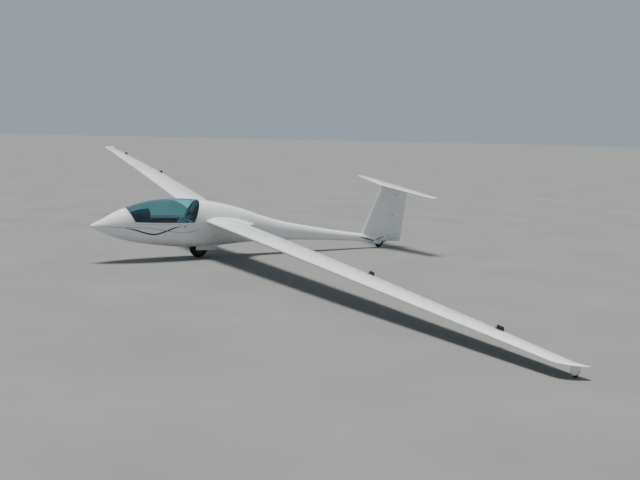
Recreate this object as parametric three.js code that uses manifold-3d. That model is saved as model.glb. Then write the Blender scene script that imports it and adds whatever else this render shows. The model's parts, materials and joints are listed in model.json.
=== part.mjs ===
// A single-seat sailplane with an 18 metre wing and a T-tail, parked on its main wheel, its tail
// wheel and the little wheel under its port wing tip. Lengths are millimetres.
//
// Every piece is made in the aircraft's own frame: x runs aft from the nose tip, y to starboard and
// z up, square to the fuselage. The whole aircraft is then leaned onto its three wheels and turned
// so that its nose points along +x and its port wing along +y.
import * as THREE from "three";
import { mergeVertices } from "three/addons/utils/BufferGeometryUtils.js";
import Module from "manifold-3d";

const wasm = await Module();
wasm.setup();

const SEAM = 0.3; // gap between pieces that touch
const ROOM = 5; // gap round a piece that moves
const FAR = 20000; // longer than anything here
const ACROSS = 600; // half width of a plate that cuts right through the fuselage
const PIN_SIDES = 10;
const PIN_FACET = Math.cos(Math.PI / PIN_SIDES); // how far in a facet lies, as a share of the radius

// Fuselage
const WALL = 10; // thickness of the cockpit shell
const BODY_SIDES = 32; // points round one section
const BODY_COLUMNS = ["x", "top", "bottom", "half", "middle", "fullness"];
const BODY = [
  [0, -4, -26, 11, -15, 2],
  [25, 14, -46, 30, -15, 2],
  [80, 46, -68, 60, -13, 2],
  [180, 104, -106, 108, -8, 2],
  [350, 215, -176, 178, 10, 2.05],
  [520, 305, -225, 226, 28, 2.1],
  [700, 386, -262, 265, 45, 2.15],
  [900, 456, -290, 292, 62, 2.2],
  [1150, 520, -313, 311, 75, 2.2],
  [1450, 566, -332, 320, 85, 2.2],
  [1750, 580, -339, 314, 85, 2.2],
  [2050, 573, -334, 296, 80, 2.2],
  [2350, 548, -308, 262, 70, 2.1],
  [2700, 495, -262, 215, 60, 2.05],
  [3050, 415, -220, 172, 50, 2],
  [3400, 322, -186, 142, 40, 2],
  [3800, 243, -155, 124, 30, 2],
  [4300, 178, -133, 110, 20, 2],
  [5000, 106, -122, 95, -8, 2],
  [5700, 52, -119, 76, -34, 2],
  [6100, 30, -117, 62, -44, 2],
  [6445, 12, -108, 44, -48, 2],
];
const HOLLOW = { front: 180, feet: 350, rear: 2350 }; // x where the shell's hollow, and the room in it, end

// Canopy: the side outline of its glass, as three straight lines
const GLASS_LOWER = { height: 107, slope: 0.043 }; // z = height + slope * x
const GLASS_FRONT = { x: 837, slope: -0.64 }; // x = x + slope * z
const GLASS_REAR = { x: 1806, slope: 0.302 };
const GLASS_CORNER = 26; // how far each lower corner is rounded
const FRAME_WIDTH = 26;
const FRAME_DEPTH = 24;
const GLASS_THICKNESS = 5;
const SHELL_JOINT = 56; // from the glass to where the cockpit meets the rear fuselage
const RAIL = 42; // width of the thick rail round the cockpit opening
const RAIL_DEPTH = 22; // how much thicker than the shell it is
const CANOPY_PIVOT = [572, 0, 314];
const CANOPY_ARM = { low: [-7, -15, -8], high: [48, 15, 10] }; // corners, from the pivot
const CANOPY_SLOT = { low: [-17, -20, -17], high: [60, 20, 60] };
const CANOPY_PIN = { half: 38, radius: 4, bore: 4.4, clear: 31 };

// Wing, as distances from the root along the leading edge of one side
const WING_ROOT = 330; // y where the measured planform starts
const ROOT_RIB = 400; // y where the wing meets the stub on the fuselage
const PANEL_JOINT = 7820; // y where the tip panel meets the inner panel
const HALF_SPAN = 9000;
const WING_COLUMNS = ["y", "lead", "chord", "thickness"];
const WING = [
  [WING_ROOT, 2114, 824, 0.155],
  [5532, 2300, 566, 0.14],
  [8740, 2488, 284, 0.125],
  [8860, 2540, 232, 0.12],
  [8950, 2640, 140, 0.11],
  [HALF_SPAN, 2745, 40, 0.1],
];
const BENDS = [WING_ROOT, 1800, 3300, 4700, 7760, HALF_SPAN]; // the wing is straight between these
const WING_HEIGHT = 212;
const WING_RISE = 0.0561; // dihedral, as a slope
const WING_DROOP = { port: 92, starboard: 245 }; // sag of each tip under its own weight
const TIP_RISE = { from: 8600, height: 19 }; // the last of each tip curls up by this much
const INCIDENCE = 0.02;
const CAMBER = 0.03;
const FOIL_POINTS = 8; // points along each face of a foil
const EDGE_THICKNESS = 2.4;
const SIDES = { port: -1, starboard: 1 };
const STUB_COLUMNS = ["y", "ahead", "behind", "thickness"]; // the stub's growth towards the fuselage
const STUB = [
  [ROOT_RIB, 0, 0, 0.155],
  [300, 14, 60, 0.158],
  [200, 36, 180, 0.155],
  [60, 50, 240, 0.155],
];

// Control surfaces
const AILERON = { inner: 4740, outer: 7720, hinge: 0.8, pin: 4, hinges: [0.08, 0.5, 0.92] };
const HINGE = { lug: 6, grip: 12, arm: 14 }; // half a lug, how far its pin grips, how far its arm enters
const LOCK = { inset: 80, width: 90 };
const LOCK_OUTLINE = [ // in side view, aft of and above the aileron's trailing edge
  [-70, 12],
  [-70, 20],
  [-34, 20],
  [-28, 52],
  [-4, 52],
  [8, 8],
  [8, -12],
  [-70, -22],
  [-70, -14],
  [SEAM, -4],
  [SEAM, 2],
];

// Airbrakes
const BRAKE = { y: 2450, length: 1100, width: 14, place: 0.5, floor: 34 };
const BRAKE_ROD = { radius: 3, at: 420, foot: -37, top: 34, bore: 40 }; // heights from the foil's middle

// Fin and tailplane
const FIN_LEAD = { x: 5759, slope: 0.301 };
const FIN_TRAIL = { x: 6799, slope: -0.0136 };
const FIN_THICKNESS = 0.11;
const FIN_FOOT = -20;
const FIN_CAP = { ahead: 46, below: 30 }; // the fin is cut away over the rudder's top end
const RUDDER = { low: -88, high: 1048, lowX: 6434, highX: 6500, pin: 4, hinges: [0.1, 0.5, 0.9] };
const TAIL_HEIGHT = 1116;
const TAIL_COLUMNS = ["y", "lead", "chord", "thickness"];
const TAIL = [
  [0, 6075, 530, 0.105],
  [1290, 6318, 272, 0.1],
  [1380, 6352, 226, 0.1],
  [1436, 6420, 130, 0.09],
];
const ELEVATOR = { half: 1285, hinge: 6470, pin: 3, hinges: [0.06, 0.34, 0.66, 0.94] };
const ELEVATOR_ROOM = { ahead: 40, below: 38, above: 60 }; // cut out of the fin for the elevator's swing

// Wheels: the place of each axle, its radius and half length, the tyre's outer radius and the
// radius of its round crown
const MAIN_WHEEL = {
  x: 2115, y: 0, z: -362, radius: 178, crown: 62, width: 124, rim: 76, axle: 12, axleHalf: 100, sides: 32,
};
const TAIL_WHEEL = {
  x: 6255, y: 0, z: -138, radius: 100, crown: 25, width: 50, rim: 48, axle: 8, axleHalf: 42, sides: 24,
};
const TIP_WHEEL = { x: 2715, y: 8880, drop: 105, radius: 38, crown: 11, width: 22, axle: 4, sides: 20 };
const RIM = { hub: 0.12, barrel: 0.88, step: 2, wide: 0.4, web: 0.3 }; // shares of the rim and the width
const POD_COLUMNS = ["above", "ahead", "behind", "half"]; // reach of each level from the axle
const TIP_POD = [
  [-6, 58, 52, 24],
  [14, 70, 57, 27],
  [TIP_WHEEL.drop - 4, 78, 44, 27],
];
const TAIL_POD = [
  [-22, 128, 112, 40],
  [-2, 150, 140, 43],
  [88, 190, 172, 44],
];
const TAIL_SLOT = { ends: 10, sides: 6 }; // room round the tail wheel
const TOW_HOOK = { x: 1878, low: -348, high: -312, reach: 27, half: 14, throat: 6, lip: 4 };
const BAY = { front: 1925, rear: 2465, half: 108, roof: -92 };
const DOOR = {
  front: 2010, rear: 2450, hinge: -322, low: -382, wall: 8, splay: 8, rake: 6, taper: 14,
};

// Main gear fork: two tubes across the bay, aft of and above the axle, and the legs down to it
const TRUNNION = { aft: 115, above: 234, radius: 13, leg: 11 };
const BRACE = { aft: -105, above: 238, radius: 9, leg: 8 };
const FORK = { y: 82, bossHalf: 12, boss: 22 };

// Cockpit
const SEAT_LINE = [ // the pan's top face in side view
  [1130, -92],
  [1170, -78],
  [1230, -118],
  [1320, -200],
  [1400, -224],
  [1480, -206],
  [1600, -92],
  [1720, 62],
  [1806, 205],
];
const SEAT = { pan: 8, cushion: 38, cushionHalf: 205, cushionFrom: 2 };
const LINER = 15;
const HEADREST = { low: 292, high: 520, depth: 82, half: 112, chin: 30, brow: 50, back: 20, crest: 34 };
const ARCH_STEPS = 14;
const ARCH_COLUMNS = ["x", "half", "bottom", "top"]; // arched sections
const HOOD = [
  [700, 86, 150, 268],
  [850, 138, 130, 326],
  [1040, 166, 112, 360],
];
const HOOD_ROOM = [ // the same with a gap below, and longer
  [690, 86, 150 - SEAM, 268],
  [850, 138 + SEAM, 130 - SEAM, 326 + SEAM],
  [1060, 168, 108, 364],
];
const PANEL = [
  [1040 + SEAM, 160, 118, 352],
  [1048, 160, 118, 352],
];
const PEDESTAL = { front: 770, rear: 960, half: 80, high: 220 };
const STICK = { x: 1060, foot: -268, baseLength: 35, baseHalf: 30, shaft: 9, grip: 15, gripTop: 17 };
const STICK_GRIP = { low: [16, -66], high: [34, 46] }; // x from the stick's foot, and z

const shade = {
  gelcoat: [0xf2f3f1, 0.22, 0],
  glass: [0x5f8f96, 0.05, 0],
  rubber: [0x17181a, 0.85, 0],
  steel: [0x8c9094, 0.35, 0.9],
  alloy: [0xb9bcc0, 0.4, 0.8],
  trim: [0x20252b, 0.7, 0],
  fabric: [0x27304a, 0.9, 0],
  liner: [0x3a3f45, 0.8, 0],
  composite: [0xd8dad8, 0.5, 0],
  clamp: [0x121315, 0.7, 0],
};

// Plain solids

function toSolid(geometry) {
  const bare = geometry.clone();
  bare.deleteAttribute("normal");
  bare.deleteAttribute("uv");
  const merged = mergeVertices(bare, 1e-3);
  const corners = merged.index.array;
  const faces = [];
  for (let i = 0; i < corners.length; i += 3) {
    const [a, b, c] = [corners[i], corners[i + 1], corners[i + 2]];
    if (a !== b && b !== c && c !== a) faces.push(a, b, c);
  }
  const vertProperties = new Float32Array(merged.attributes.position.array);
  if (sixfoldVolume(vertProperties, faces) < 0) faces.reverse();
  const mesh = new wasm.Mesh({ numProp: 3, vertProperties, triVerts: new Uint32Array(faces) });
  return new wasm.Manifold(mesh);
}

// Six times the volume inside a skin, negative where its faces point in
function sixfoldVolume(places, faces) {
  const corner = (i) => new THREE.Vector3().fromArray(places, 3 * i);
  let total = 0;
  for (let i = 0; i < faces.length; i += 3) {
    total += corner(faces[i]).dot(corner(faces[i + 1]).cross(corner(faces[i + 2])));
  }
  return total;
}

function toGeometry(solid) {
  const { vertProperties, triVerts } = solid.getMesh();
  const geometry = new THREE.BufferGeometry();
  geometry.setAttribute("position", new THREE.BufferAttribute(vertProperties, 3));
  geometry.setIndex(new THREE.BufferAttribute(triVerts, 1));
  geometry.computeVertexNormals();
  return geometry;
}

// Joins rings of points into one closed skin, with a flat end at the first and the last ring. The
// points of a ring run so that the first mirrors the last, the second the last but one, and so on.
function loft(rings) {
  const count = rings[0].length;
  const faces = [];
  for (let ring = 0; ring < rings.length - 1; ring++) {
    for (let i = 0; i < count; i++) {
      const a = ring * count + i;
      const b = ring * count + ((i + 1) % count);
      faces.push(a, b, a + count, b, b + count, a + count);
    }
  }
  const end = (rings.length - 1) * count;
  for (let i = 0; i < count / 2 - 1; i++) {
    const j = count - 1 - i;
    const cap = [i + 1, i, j];
    if (j - 1 > i + 1) cap.push(i + 1, j, j - 1);
    faces.push(...cap);
    faces.push(...cap.map((corner) => end + corner).reverse());
  }
  const geometry = new THREE.BufferGeometry();
  geometry.setAttribute("position", new THREE.Float32BufferAttribute(rings.flat(2), 3));
  geometry.setIndex(faces);
  return toSolid(geometry);
}

function table(columns, rows) {
  return rows.map((row) => Object.fromEntries(columns.map((name, i) => [name, row[i]])));
}

function at(geometry, x, y, z) {
  return toSolid(geometry.translate(x, y, z));
}

// A box from its low and its high corner
function block(low, high) {
  const size = high.map((value, i) => value - low[i]);
  const centre = high.map((value, i) => (value + low[i]) / 2);
  return at(new THREE.BoxGeometry(...size), ...centre);
}

// A box by its low and high corners along three axes square to each other, from an origin
function turnedBlock(origin, axes, low, high) {
  const size = high.map((value, i) => value - low[i]);
  const middle = high.map((value, i) => (value + low[i]) / 2);
  const basis = new THREE.Matrix4().makeBasis(...axes);
  const geometry = new THREE.BoxGeometry(...size).translate(...middle).applyMatrix4(basis);
  return at(geometry, ...origin.toArray());
}

// A round bar or cone frustum from one point to another
function bar(from, to, radius, endRadius = radius, sides = PIN_SIDES) {
  const start = new THREE.Vector3(...from);
  const line = new THREE.Vector3(...to).sub(start);
  const geometry = new THREE.CylinderGeometry(endRadius, radius, line.length(), sides);
  const turn = new THREE.Quaternion().setFromUnitVectors(
    new THREE.Vector3(0, 1, 0),
    line.clone().normalize(),
  );
  geometry.applyQuaternion(turn);
  const middle = start.addScaledVector(line, 0.5);
  return at(geometry, middle.x, middle.y, middle.z);
}

// A plate whose outline lies in the x-z plane, from y = -half to y = half
function sidePlate(shape, half) {
  const geometry = new THREE.ExtrudeGeometry(shape, {
    depth: 2 * half,
    bevelEnabled: false,
    curveSegments: 5,
  });
  return at(geometry.rotateX(Math.PI / 2), 0, half, 0);
}

function outline(points) {
  return new THREE.Shape(points.map(([x, z]) => new THREE.Vector2(x, z)));
}

// Fuselage solids

function bodyRing(station, inset) {
  const { x, top, bottom, half, middle, fullness } = station;
  const ring = [];
  for (let i = 0; i < BODY_SIDES; i++) {
    const angle = ((i + 0.5) / BODY_SIDES) * 2 * Math.PI - Math.PI / 2;
    const across = Math.cos(angle);
    const up = Math.sin(angle);
    const reach = up > 0 ? top - inset - middle : middle - bottom - inset;
    const y = (half - inset) * Math.sign(across) * Math.abs(across) ** (2 / fullness);
    const z = middle + reach * Math.sign(up) * Math.abs(up) ** (2 / fullness);
    ring.push([x, y, z]);
  }
  return ring;
}

function body(inset = 0, from = 0, to = FAR) {
  const stations = table(BODY_COLUMNS, BODY).filter(({ x }) => x >= from && x <= to);
  return loft(stations.map((station) => bodyRing(station, inset)));
}

// The canopy glass's side outline, grown outwards by a margin
function canopyOutline(grow) {
  const lower = GLASS_LOWER.height - grow * Math.hypot(1, GLASS_LOWER.slope);
  const front = GLASS_FRONT.x - grow * Math.hypot(1, GLASS_FRONT.slope);
  const rear = GLASS_REAR.x + grow * Math.hypot(1, GLASS_REAR.slope);
  const corner = (x, slope) => {
    const z = (lower + GLASS_LOWER.slope * x) / (1 - GLASS_LOWER.slope * slope);
    return new THREE.Vector2(x + slope * z, z);
  };
  const frontLow = corner(front, GLASS_FRONT.slope);
  const rearLow = corner(rear, GLASS_REAR.slope);
  const above = 800; // well over the glass
  const frontHigh = new THREE.Vector2(front + GLASS_FRONT.slope * above, above);
  const rearHigh = new THREE.Vector2(rear + GLASS_REAR.slope * above, above);
  const cut = GLASS_CORNER + grow;
  const toward = (a, b) => a.clone().addScaledVector(b.clone().sub(a).normalize(), cut);
  const shape = new THREE.Shape();
  shape.moveTo(frontHigh.x, frontHigh.y);
  shape.lineTo(...toward(frontLow, frontHigh).toArray());
  shape.quadraticCurveTo(...frontLow.toArray(), ...toward(frontLow, rearLow).toArray());
  shape.lineTo(...toward(rearLow, frontLow).toArray());
  shape.quadraticCurveTo(...rearLow.toArray(), ...toward(rearLow, rearHigh).toArray());
  shape.lineTo(rearHigh.x, rearHigh.y);
  return shape;
}

// Everything ahead of a plane that leans like the canopy's rear edge
function aheadOfRear(grow) {
  const x = GLASS_REAR.x + grow * Math.hypot(1, GLASS_REAR.slope);
  const reach = 1200;
  const lean = GLASS_REAR.slope * reach;
  return sidePlate(
    outline([[-reach, -reach], [x - lean, -reach], [x + lean, reach], [-reach, reach]]),
    reach,
  );
}

// The canopy turns on one pin at the top of the nose, in a slot that lets its arm swing up.
function besidePivot({ low, high }) {
  const corner = (offsets) => offsets.map((value, i) => value + CANOPY_PIVOT[i]);
  return block(corner(low), corner(high));
}

function canopyPin(half, radius) {
  const [x, , z] = CANOPY_PIVOT;
  return bar([x, -half, z], [x, half, z], radius);
}

function cockpitShell() {
  const hollow = body(WALL, HOLLOW.front, HOLLOW.rear);
  const narrow = body(WALL + RAIL_DEPTH, HOLLOW.feet, HOLLOW.rear);
  const opening = sidePlate(canopyOutline(FRAME_WIDTH + ROOM), ACROSS);
  const rim = sidePlate(canopyOutline(FRAME_WIDTH + ROOM + RAIL), ACROSS);
  const rail = body(0, 0, HOLLOW.rear).subtract(narrow).intersect(rim);
  return body(0, 0, HOLLOW.rear)
    .subtract(hollow)
    .add(rail)
    .subtract(opening)
    .subtract(besidePivot(CANOPY_SLOT))
    .subtract(canopyPin(CANOPY_PIN.half + 1, CANOPY_PIN.bore))
    .intersect(aheadOfRear(SHELL_JOINT));
}

function canopyFrame() {
  const ring = sidePlate(canopyOutline(FRAME_WIDTH), ACROSS);
  const window = sidePlate(canopyOutline(SEAM), ACROSS);
  return body(0, 0, HOLLOW.rear)
    .subtract(body(FRAME_DEPTH, HOLLOW.front, HOLLOW.rear))
    .intersect(ring)
    .subtract(window)
    .subtract(canopyPin(ACROSS, CANOPY_PIN.clear))
    .add(besidePivot(CANOPY_ARM))
    .add(canopyPin(CANOPY_PIN.half, CANOPY_PIN.radius));
}

function canopyGlass() {
  const window = sidePlate(canopyOutline(0), ACROSS);
  return body(0, 0, HOLLOW.rear)
    .subtract(body(GLASS_THICKNESS, HOLLOW.front, HOLLOW.rear))
    .intersect(window);
}

// Foils: the wing, the fin and the tailplane

function halfThickness(u, thickness) {
  const round = 0.2969 * Math.sqrt(u) - 0.126 * u;
  return 5 * thickness * (round - 0.3516 * u ** 2 + 0.2843 * u ** 3 - 0.1036 * u ** 4);
}

function camberAt(u, camber) {
  return 4 * camber * u * (1 - u);
}

// One section: from the trailing edge over the top to the nose, and back below. The foil's
// thickness runs along z, or along y for the fin.
function foilRing({ lead, chord, thickness, camber = 0, incidence = 0, upright = false, grow = 0 }) {
  const ring = [];
  const last = 2 * FOIL_POINTS - 1;
  for (let i = 0; i <= last; i++) {
    const turn = (Math.PI * (i < FOIL_POINTS ? i : last - i)) / (FOIL_POINTS - 1 + 0.5);
    const u = (1 + Math.cos(turn)) / 2;
    const face = i < FOIL_POINTS ? 1 : -1;
    const skin = halfThickness(u, thickness) * chord + (u * EDGE_THICKNESS) / 2 + grow;
    const off = camberAt(u, camber) * chord + face * skin;
    const x = lead[0] + u * chord;
    if (upright) ring.push([x, lead[1] + off, lead[2]]);
    else ring.push([x, lead[1], lead[2] + off - u * chord * incidence]);
  }
  return ring;
}

function between(rows, y) {
  const after = rows.findIndex((row) => row.y >= y);
  if (after <= 0) return rows[0];
  const [low, high] = [rows[after - 1], rows[after]];
  const share = (y - low.y) / (high.y - low.y);
  const mix = (name) => THREE.MathUtils.lerp(low[name], high[name], share);
  return { y, lead: mix("lead"), chord: mix("chord"), thickness: mix("thickness") };
}

const wingRows = table(WING_COLUMNS, WING);
const tailRows = table(TAIL_COLUMNS, TAIL);

// The height of the leading edge: straight dihedral, less a sag that grows with the square of y,
// and a short rise at the tip
function wingHeight(side, y) {
  const height = (place) => {
    const out = (place - WING_ROOT) / (HALF_SPAN - WING_ROOT);
    return WING_HEIGHT + (place - WING_ROOT) * WING_RISE - WING_DROOP[side] * out ** 2;
  };
  const next = Math.max(1, BENDS.findIndex((place) => place >= y));
  const [low, high] = [BENDS[next - 1], BENDS[next]];
  const rise = TIP_RISE.height * (Math.max(0, y - TIP_RISE.from) / (HALF_SPAN - TIP_RISE.from)) ** 2;
  return THREE.MathUtils.lerp(height(low), height(high), (y - low) / (high - low)) + rise;
}

function wingSection(side, y) {
  const { lead, chord, thickness } = between(wingRows, y);
  return {
    lead: [lead, SIDES[side] * y, wingHeight(side, y)],
    chord,
    thickness,
    camber: CAMBER,
    incidence: INCIDENCE,
  };
}

function wingPanel(side, from, to, grow = 0) {
  const breaks = [...BENDS, ...wingRows.map((row) => row.y)].filter((y) => y > from && y < to);
  const places = [from, ...new Set(breaks.sort((a, b) => a - b)), to];
  return loft(places.map((y) => foilRing({ ...wingSection(side, y), grow })));
}

// The middle of a foil and half its thickness, a share of the chord behind its leading edge
function foilMiddle({ lead, chord, thickness, camber = 0, incidence = 0 }, u) {
  const rise = (camberAt(u, camber) - u * incidence) * chord;
  const point = new THREE.Vector3(lead[0] + u * chord, lead[1], lead[2] + rise);
  return { point, radius: halfThickness(u, thickness) * chord };
}

// Control surfaces. A hinge line is a list of points in a row, each with the radius of the moving
// piece's round nose there. The up direction is the foil's thickness.
class HingeLine {
  constructor(stops, up) {
    this.stops = stops;
    this.start = stops[0].point;
    this.end = stops.at(-1).point;
    this.along = this.end.clone().sub(this.start).normalize();
    this.aft = new THREE.Vector3(1, 0, 0).addScaledVector(this.along, -this.along.x).normalize();
    this.up = up.clone().addScaledVector(this.along, -up.dot(this.along));
    this.up.addScaledVector(this.aft, -up.dot(this.aft)).normalize();
  }

  // A box by its low and high corners along the line, aft of it and up from it
  box(origin, low, high) {
    return turnedBlock(origin, [this.along, this.aft, this.up], low, high);
  }

  // The moving piece's space: all that lies aft of the line, with a round nose ahead of it
  space(grow) {
    const length = this.end.distanceTo(this.start);
    const [aft, above] = [700, 300];
    let space = this.box(this.start, [-grow, -grow, -above], [length + grow, aft, above]);
    for (let i = 0; i < this.stops.length - 1; i++) {
      const [a, b] = [this.stops[i], this.stops[i + 1]];
      const from = a.point.clone().addScaledVector(this.along, i === 0 ? -grow : 0);
      const last = i === this.stops.length - 2;
      const to = b.point.clone().addScaledVector(this.along, last ? grow : 0);
      const nose = bar(from.toArray(), to.toArray(), a.radius + grow, b.radius + grow, 12);
      space = space.add(nose);
    }
    return space;
  }

  point(share) {
    return this.start.clone().lerp(this.end, share);
  }

  radius(share) {
    const length = this.end.distanceTo(this.start);
    const gaps = this.stops.map(({ point }) => point.distanceTo(this.start) / length);
    const after = Math.max(1, gaps.findIndex((gap) => gap >= share));
    const [low, high] = [gaps[after - 1], gaps[after]];
    const mix = (share - low) / (high - low);
    return THREE.MathUtils.lerp(this.stops[after - 1].radius, this.stops[after].radius, mix);
  }

  pinBar(share, half, radius) {
    const middle = this.point(share);
    const from = middle.clone().addScaledVector(this.along, -half);
    const to = middle.clone().addScaledVector(this.along, half);
    return bar(from.toArray(), to.toArray(), radius);
  }
}

// A lug on the fixed piece reaches into a slot in the moving piece and holds it by a cross pin.
function addHinges(line, fixed, moving, { pin, hinges }) {
  const { lug, grip, arm } = HINGE;
  for (const share of hinges) {
    const origin = line.point(share);
    const nose = line.radius(share);
    const eye = pin + 2; // half the height of the lug round its pin
    const slot = line.box(
      origin,
      [-lug - ROOM, -nose - 2 * ROOM, -nose - 2 * ROOM],
      [lug + ROOM, eye + 8, nose + 2 * ROOM],
    );
    const hole = line.pinBar(share, lug + ROOM + grip + 1, (pin + SEAM) / PIN_FACET);
    moving = moving.subtract(slot).subtract(hole);
    const bracket = line.box(origin, [-lug, -nose - ROOM - arm, -eye], [lug, eye, eye]);
    fixed = fixed.add(bracket).add(line.pinBar(share, lug + ROOM + grip, pin));
  }
  return [fixed, moving];
}

function aileronLine(side) {
  const stops = [AILERON.inner, AILERON.outer].map((y) =>
    foilMiddle(wingSection(side, y), AILERON.hinge),
  );
  return new HingeLine(stops, new THREE.Vector3(0, 0, 1));
}

function innerWing(side) {
  const line = aileronLine(side);
  const panel = wingPanel(side, ROOT_RIB + SEAM, PANEL_JOINT);
  const fixed = panel.subtract(line.space(ROOM));
  const moving = panel.intersect(line.space(0));
  return addHinges(line, fixed, moving, AILERON);
}

// Airbrake: a blade that rises out of a slot in the wing's top face, along two rods

function brakeFrame(side) {
  const { point } = foilMiddle(wingSection(side, BRAKE.y), BRAKE.place);
  const near = foilMiddle(wingSection(side, BRAKE.y - 500), BRAKE.place).point;
  const along = point.clone().sub(near).normalize();
  const up = new THREE.Vector3(SIDES[side], 0, 0).cross(along).normalize();
  const aft = along.clone().cross(up).multiplyScalar(SIDES[side]);
  return { point, along, aft, up };
}

function brakeBox(side, low, high) {
  const { point, along, aft, up } = brakeFrame(side);
  return turnedBlock(point, [aft, along, up], low, high);
}

function brakeRods(side, radius, low, high) {
  const { point, along, up } = brakeFrame(side);
  const rods = [-BRAKE_ROD.at, BRAKE_ROD.at].map((place) => {
    const foot = point.clone().addScaledVector(along, place);
    const from = foot.clone().addScaledVector(up, low);
    const to = foot.clone().addScaledVector(up, high);
    return bar(from.toArray(), to.toArray(), radius);
  });
  return rods[0].add(rods[1]);
}

function fitAirbrake(side, wing) {
  const { floor } = BRAKE;
  const half = { width: BRAKE.width / 2, length: BRAKE.length / 2 };
  const above = 200;
  const slotLow = [-half.width - ROOM, -half.length - ROOM, -floor];
  const slot = brakeBox(side, slotLow, [half.width + ROOM, half.length + ROOM, above]);
  const bladeLow = [-half.width, -half.length, ROOM - floor];
  const space = brakeBox(side, bladeLow, [half.width, half.length, above]);
  const { radius, foot, top, bore } = BRAKE_ROD;
  const bores = brakeRods(side, (radius + SEAM) / PIN_FACET, foot, bore);
  const blade = wing.intersect(space).subtract(bores);
  const fixed = wing.subtract(slot).add(brakeRods(side, radius, foot, top));
  return [fixed, blade];
}

// Gust lock: a black clip over the aileron's trailing edge, with an upright grip
function gustLock(side, y) {
  const { point } = foilMiddle(wingSection(side, y), 1);
  const clip = sidePlate(outline(LOCK_OUTLINE), LOCK.width / 2).translate(point.toArray());
  return clip.subtract(wingPanel(side, ROOT_RIB + SEAM, PANEL_JOINT, SEAM));
}

// Fin, rudder, tailplane and elevator

function finFoil(low, high) {
  const rings = [low, high].map((z) => {
    const lead = FIN_LEAD.x + FIN_LEAD.slope * z;
    const chord = FIN_TRAIL.x + FIN_TRAIL.slope * z - lead;
    return foilRing({ lead: [lead, 0, z], chord, thickness: FIN_THICKNESS, upright: true });
  });
  return loft(rings);
}

function rudderLine() {
  const stops = [
    [RUDDER.lowX, RUDDER.low],
    [RUDDER.highX, RUDDER.high],
  ].map(([x, z]) => {
    const lead = FIN_LEAD.x + FIN_LEAD.slope * z;
    const chord = FIN_TRAIL.x + FIN_TRAIL.slope * z - lead;
    const radius = halfThickness((x - lead) / chord, FIN_THICKNESS) * chord;
    return { point: new THREE.Vector3(x, 0, z), radius };
  });
  return new HingeLine(stops, new THREE.Vector3(0, 1, 0));
}

function tailFoil(grow = 0) {
  const places = [...tailRows].reverse().map((row) => [row, -1]);
  places.push(...tailRows.slice(1).map((row) => [row, 1]));
  return loft(
    places.map(([row, side]) =>
      foilRing({ ...row, lead: [row.lead, side * row.y, TAIL_HEIGHT], grow }),
    ),
  );
}

function elevatorLine() {
  const stops = [-ELEVATOR.half, 0, ELEVATOR.half].map((y) => {
    const row = between(tailRows, Math.abs(y));
    const share = (ELEVATOR.hinge - row.lead) / row.chord;
    const radius = halfThickness(share, row.thickness) * row.chord;
    return { point: new THREE.Vector3(ELEVATOR.hinge, y, TAIL_HEIGHT), radius };
  });
  return new HingeLine(stops, new THREE.Vector3(0, 0, 1));
}

function tailPieces() {
  const elevatorHinge = elevatorLine();
  const [tailplane, elevator] = addHinges(
    elevatorHinge,
    tailFoil().subtract(elevatorHinge.space(ROOM)),
    tailFoil().intersect(elevatorHinge.space(0)),
    ELEVATOR,
  );
  return { tailplane, elevator };
}

// Wheels

// A ring with a round crown, turned about the y axis, from an inner radius out
function crownedRing({ radius, crown, width, sides }, inner, innerHalf, steps) {
  const half = width / 2;
  const profile = new THREE.Shape();
  profile.moveTo(inner, -innerHalf);
  profile.lineTo(radius - crown, -half);
  profile.absellipse(radius - crown, 0, crown, half, -Math.PI / 2, Math.PI / 2, false, 0);
  profile.lineTo(inner, innerHalf);
  profile.closePath();
  return toSolid(new THREE.LatheGeometry(profile.getPoints(steps), sides));
}

function wheelBore({ axle, sides }) {
  return (axle + SEAM) / Math.cos(Math.PI / sides);
}

function tyre(wheel) {
  return placed(crownedRing(wheel, wheel.rim, wheel.width * RIM.wide, 4), wheel);
}

// A wheel's hub, web and barrel round its bore, by half widths
function rim(wheel) {
  const bore = wheelBore(wheel);
  const [hub, barrel] = [bore + RIM.hub * wheel.rim, RIM.barrel * wheel.rim];
  const wide = wheel.width * RIM.wide;
  const web = wide * RIM.web;
  const face = [
    [bore, wide],
    [hub, wide],
    [hub + RIM.step, web],
    [barrel, web],
    [barrel, wide],
    [wheel.rim - SEAM, wide],
  ];
  const back = face.map(([radius, across]) => [radius, -across]).reverse();
  const loop = [...face, ...back, face[0]].map(([radius, across]) => new THREE.Vector2(radius, across));
  return placed(toSolid(new THREE.LatheGeometry(loop, wheel.sides)), wheel);
}

function placed(solid, { x, y, z }) {
  return solid.translate([x, y, z]);
}

// A pod like a short fin that hangs down, wide enough to hold a wheel, from its levels about the axle
function pod({ x, y, z }, levels) {
  return loft(
    table(POD_COLUMNS, levels).map(({ above, ahead, behind, half }) =>
      foilRing({
        lead: [x - ahead, y, z + above],
        chord: ahead + behind,
        thickness: (2 * half) / (ahead + behind),
        upright: true,
      }),
    ),
  );
}

function tipWheelAt(side) {
  const { lead } = wingSection(side, TIP_WHEEL.y);
  return { x: TIP_WHEEL.x, y: lead[1], z: lead[2] - TIP_WHEEL.drop };
}

function tipFairing(side) {
  const { x, y, z } = tipWheelAt(side);
  const { radius, width, axle } = TIP_WHEEL;
  const slotHalf = width / 2 + ROOM;
  const reach = radius + ROOM;
  const slot = block([x - reach, y - slotHalf, z - 2 * reach], [x + reach, y + slotHalf, z + reach]);
  const skin = wingPanel(side, PANEL_JOINT + SEAM, HALF_SPAN, SEAM);
  const bolt = bar([x, y - slotHalf - 2, z], [x, y + slotHalf + 2, z], axle);
  return pod({ x, y, z }, TIP_POD).subtract(slot).subtract(skin).add(bolt);
}

function tipWheel(side) {
  const ring = crownedRing(TIP_WHEEL, wheelBore(TIP_WHEEL), TIP_WHEEL.width / 2, 2);
  return placed(ring, tipWheelAt(side));
}

// Main gear

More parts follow.
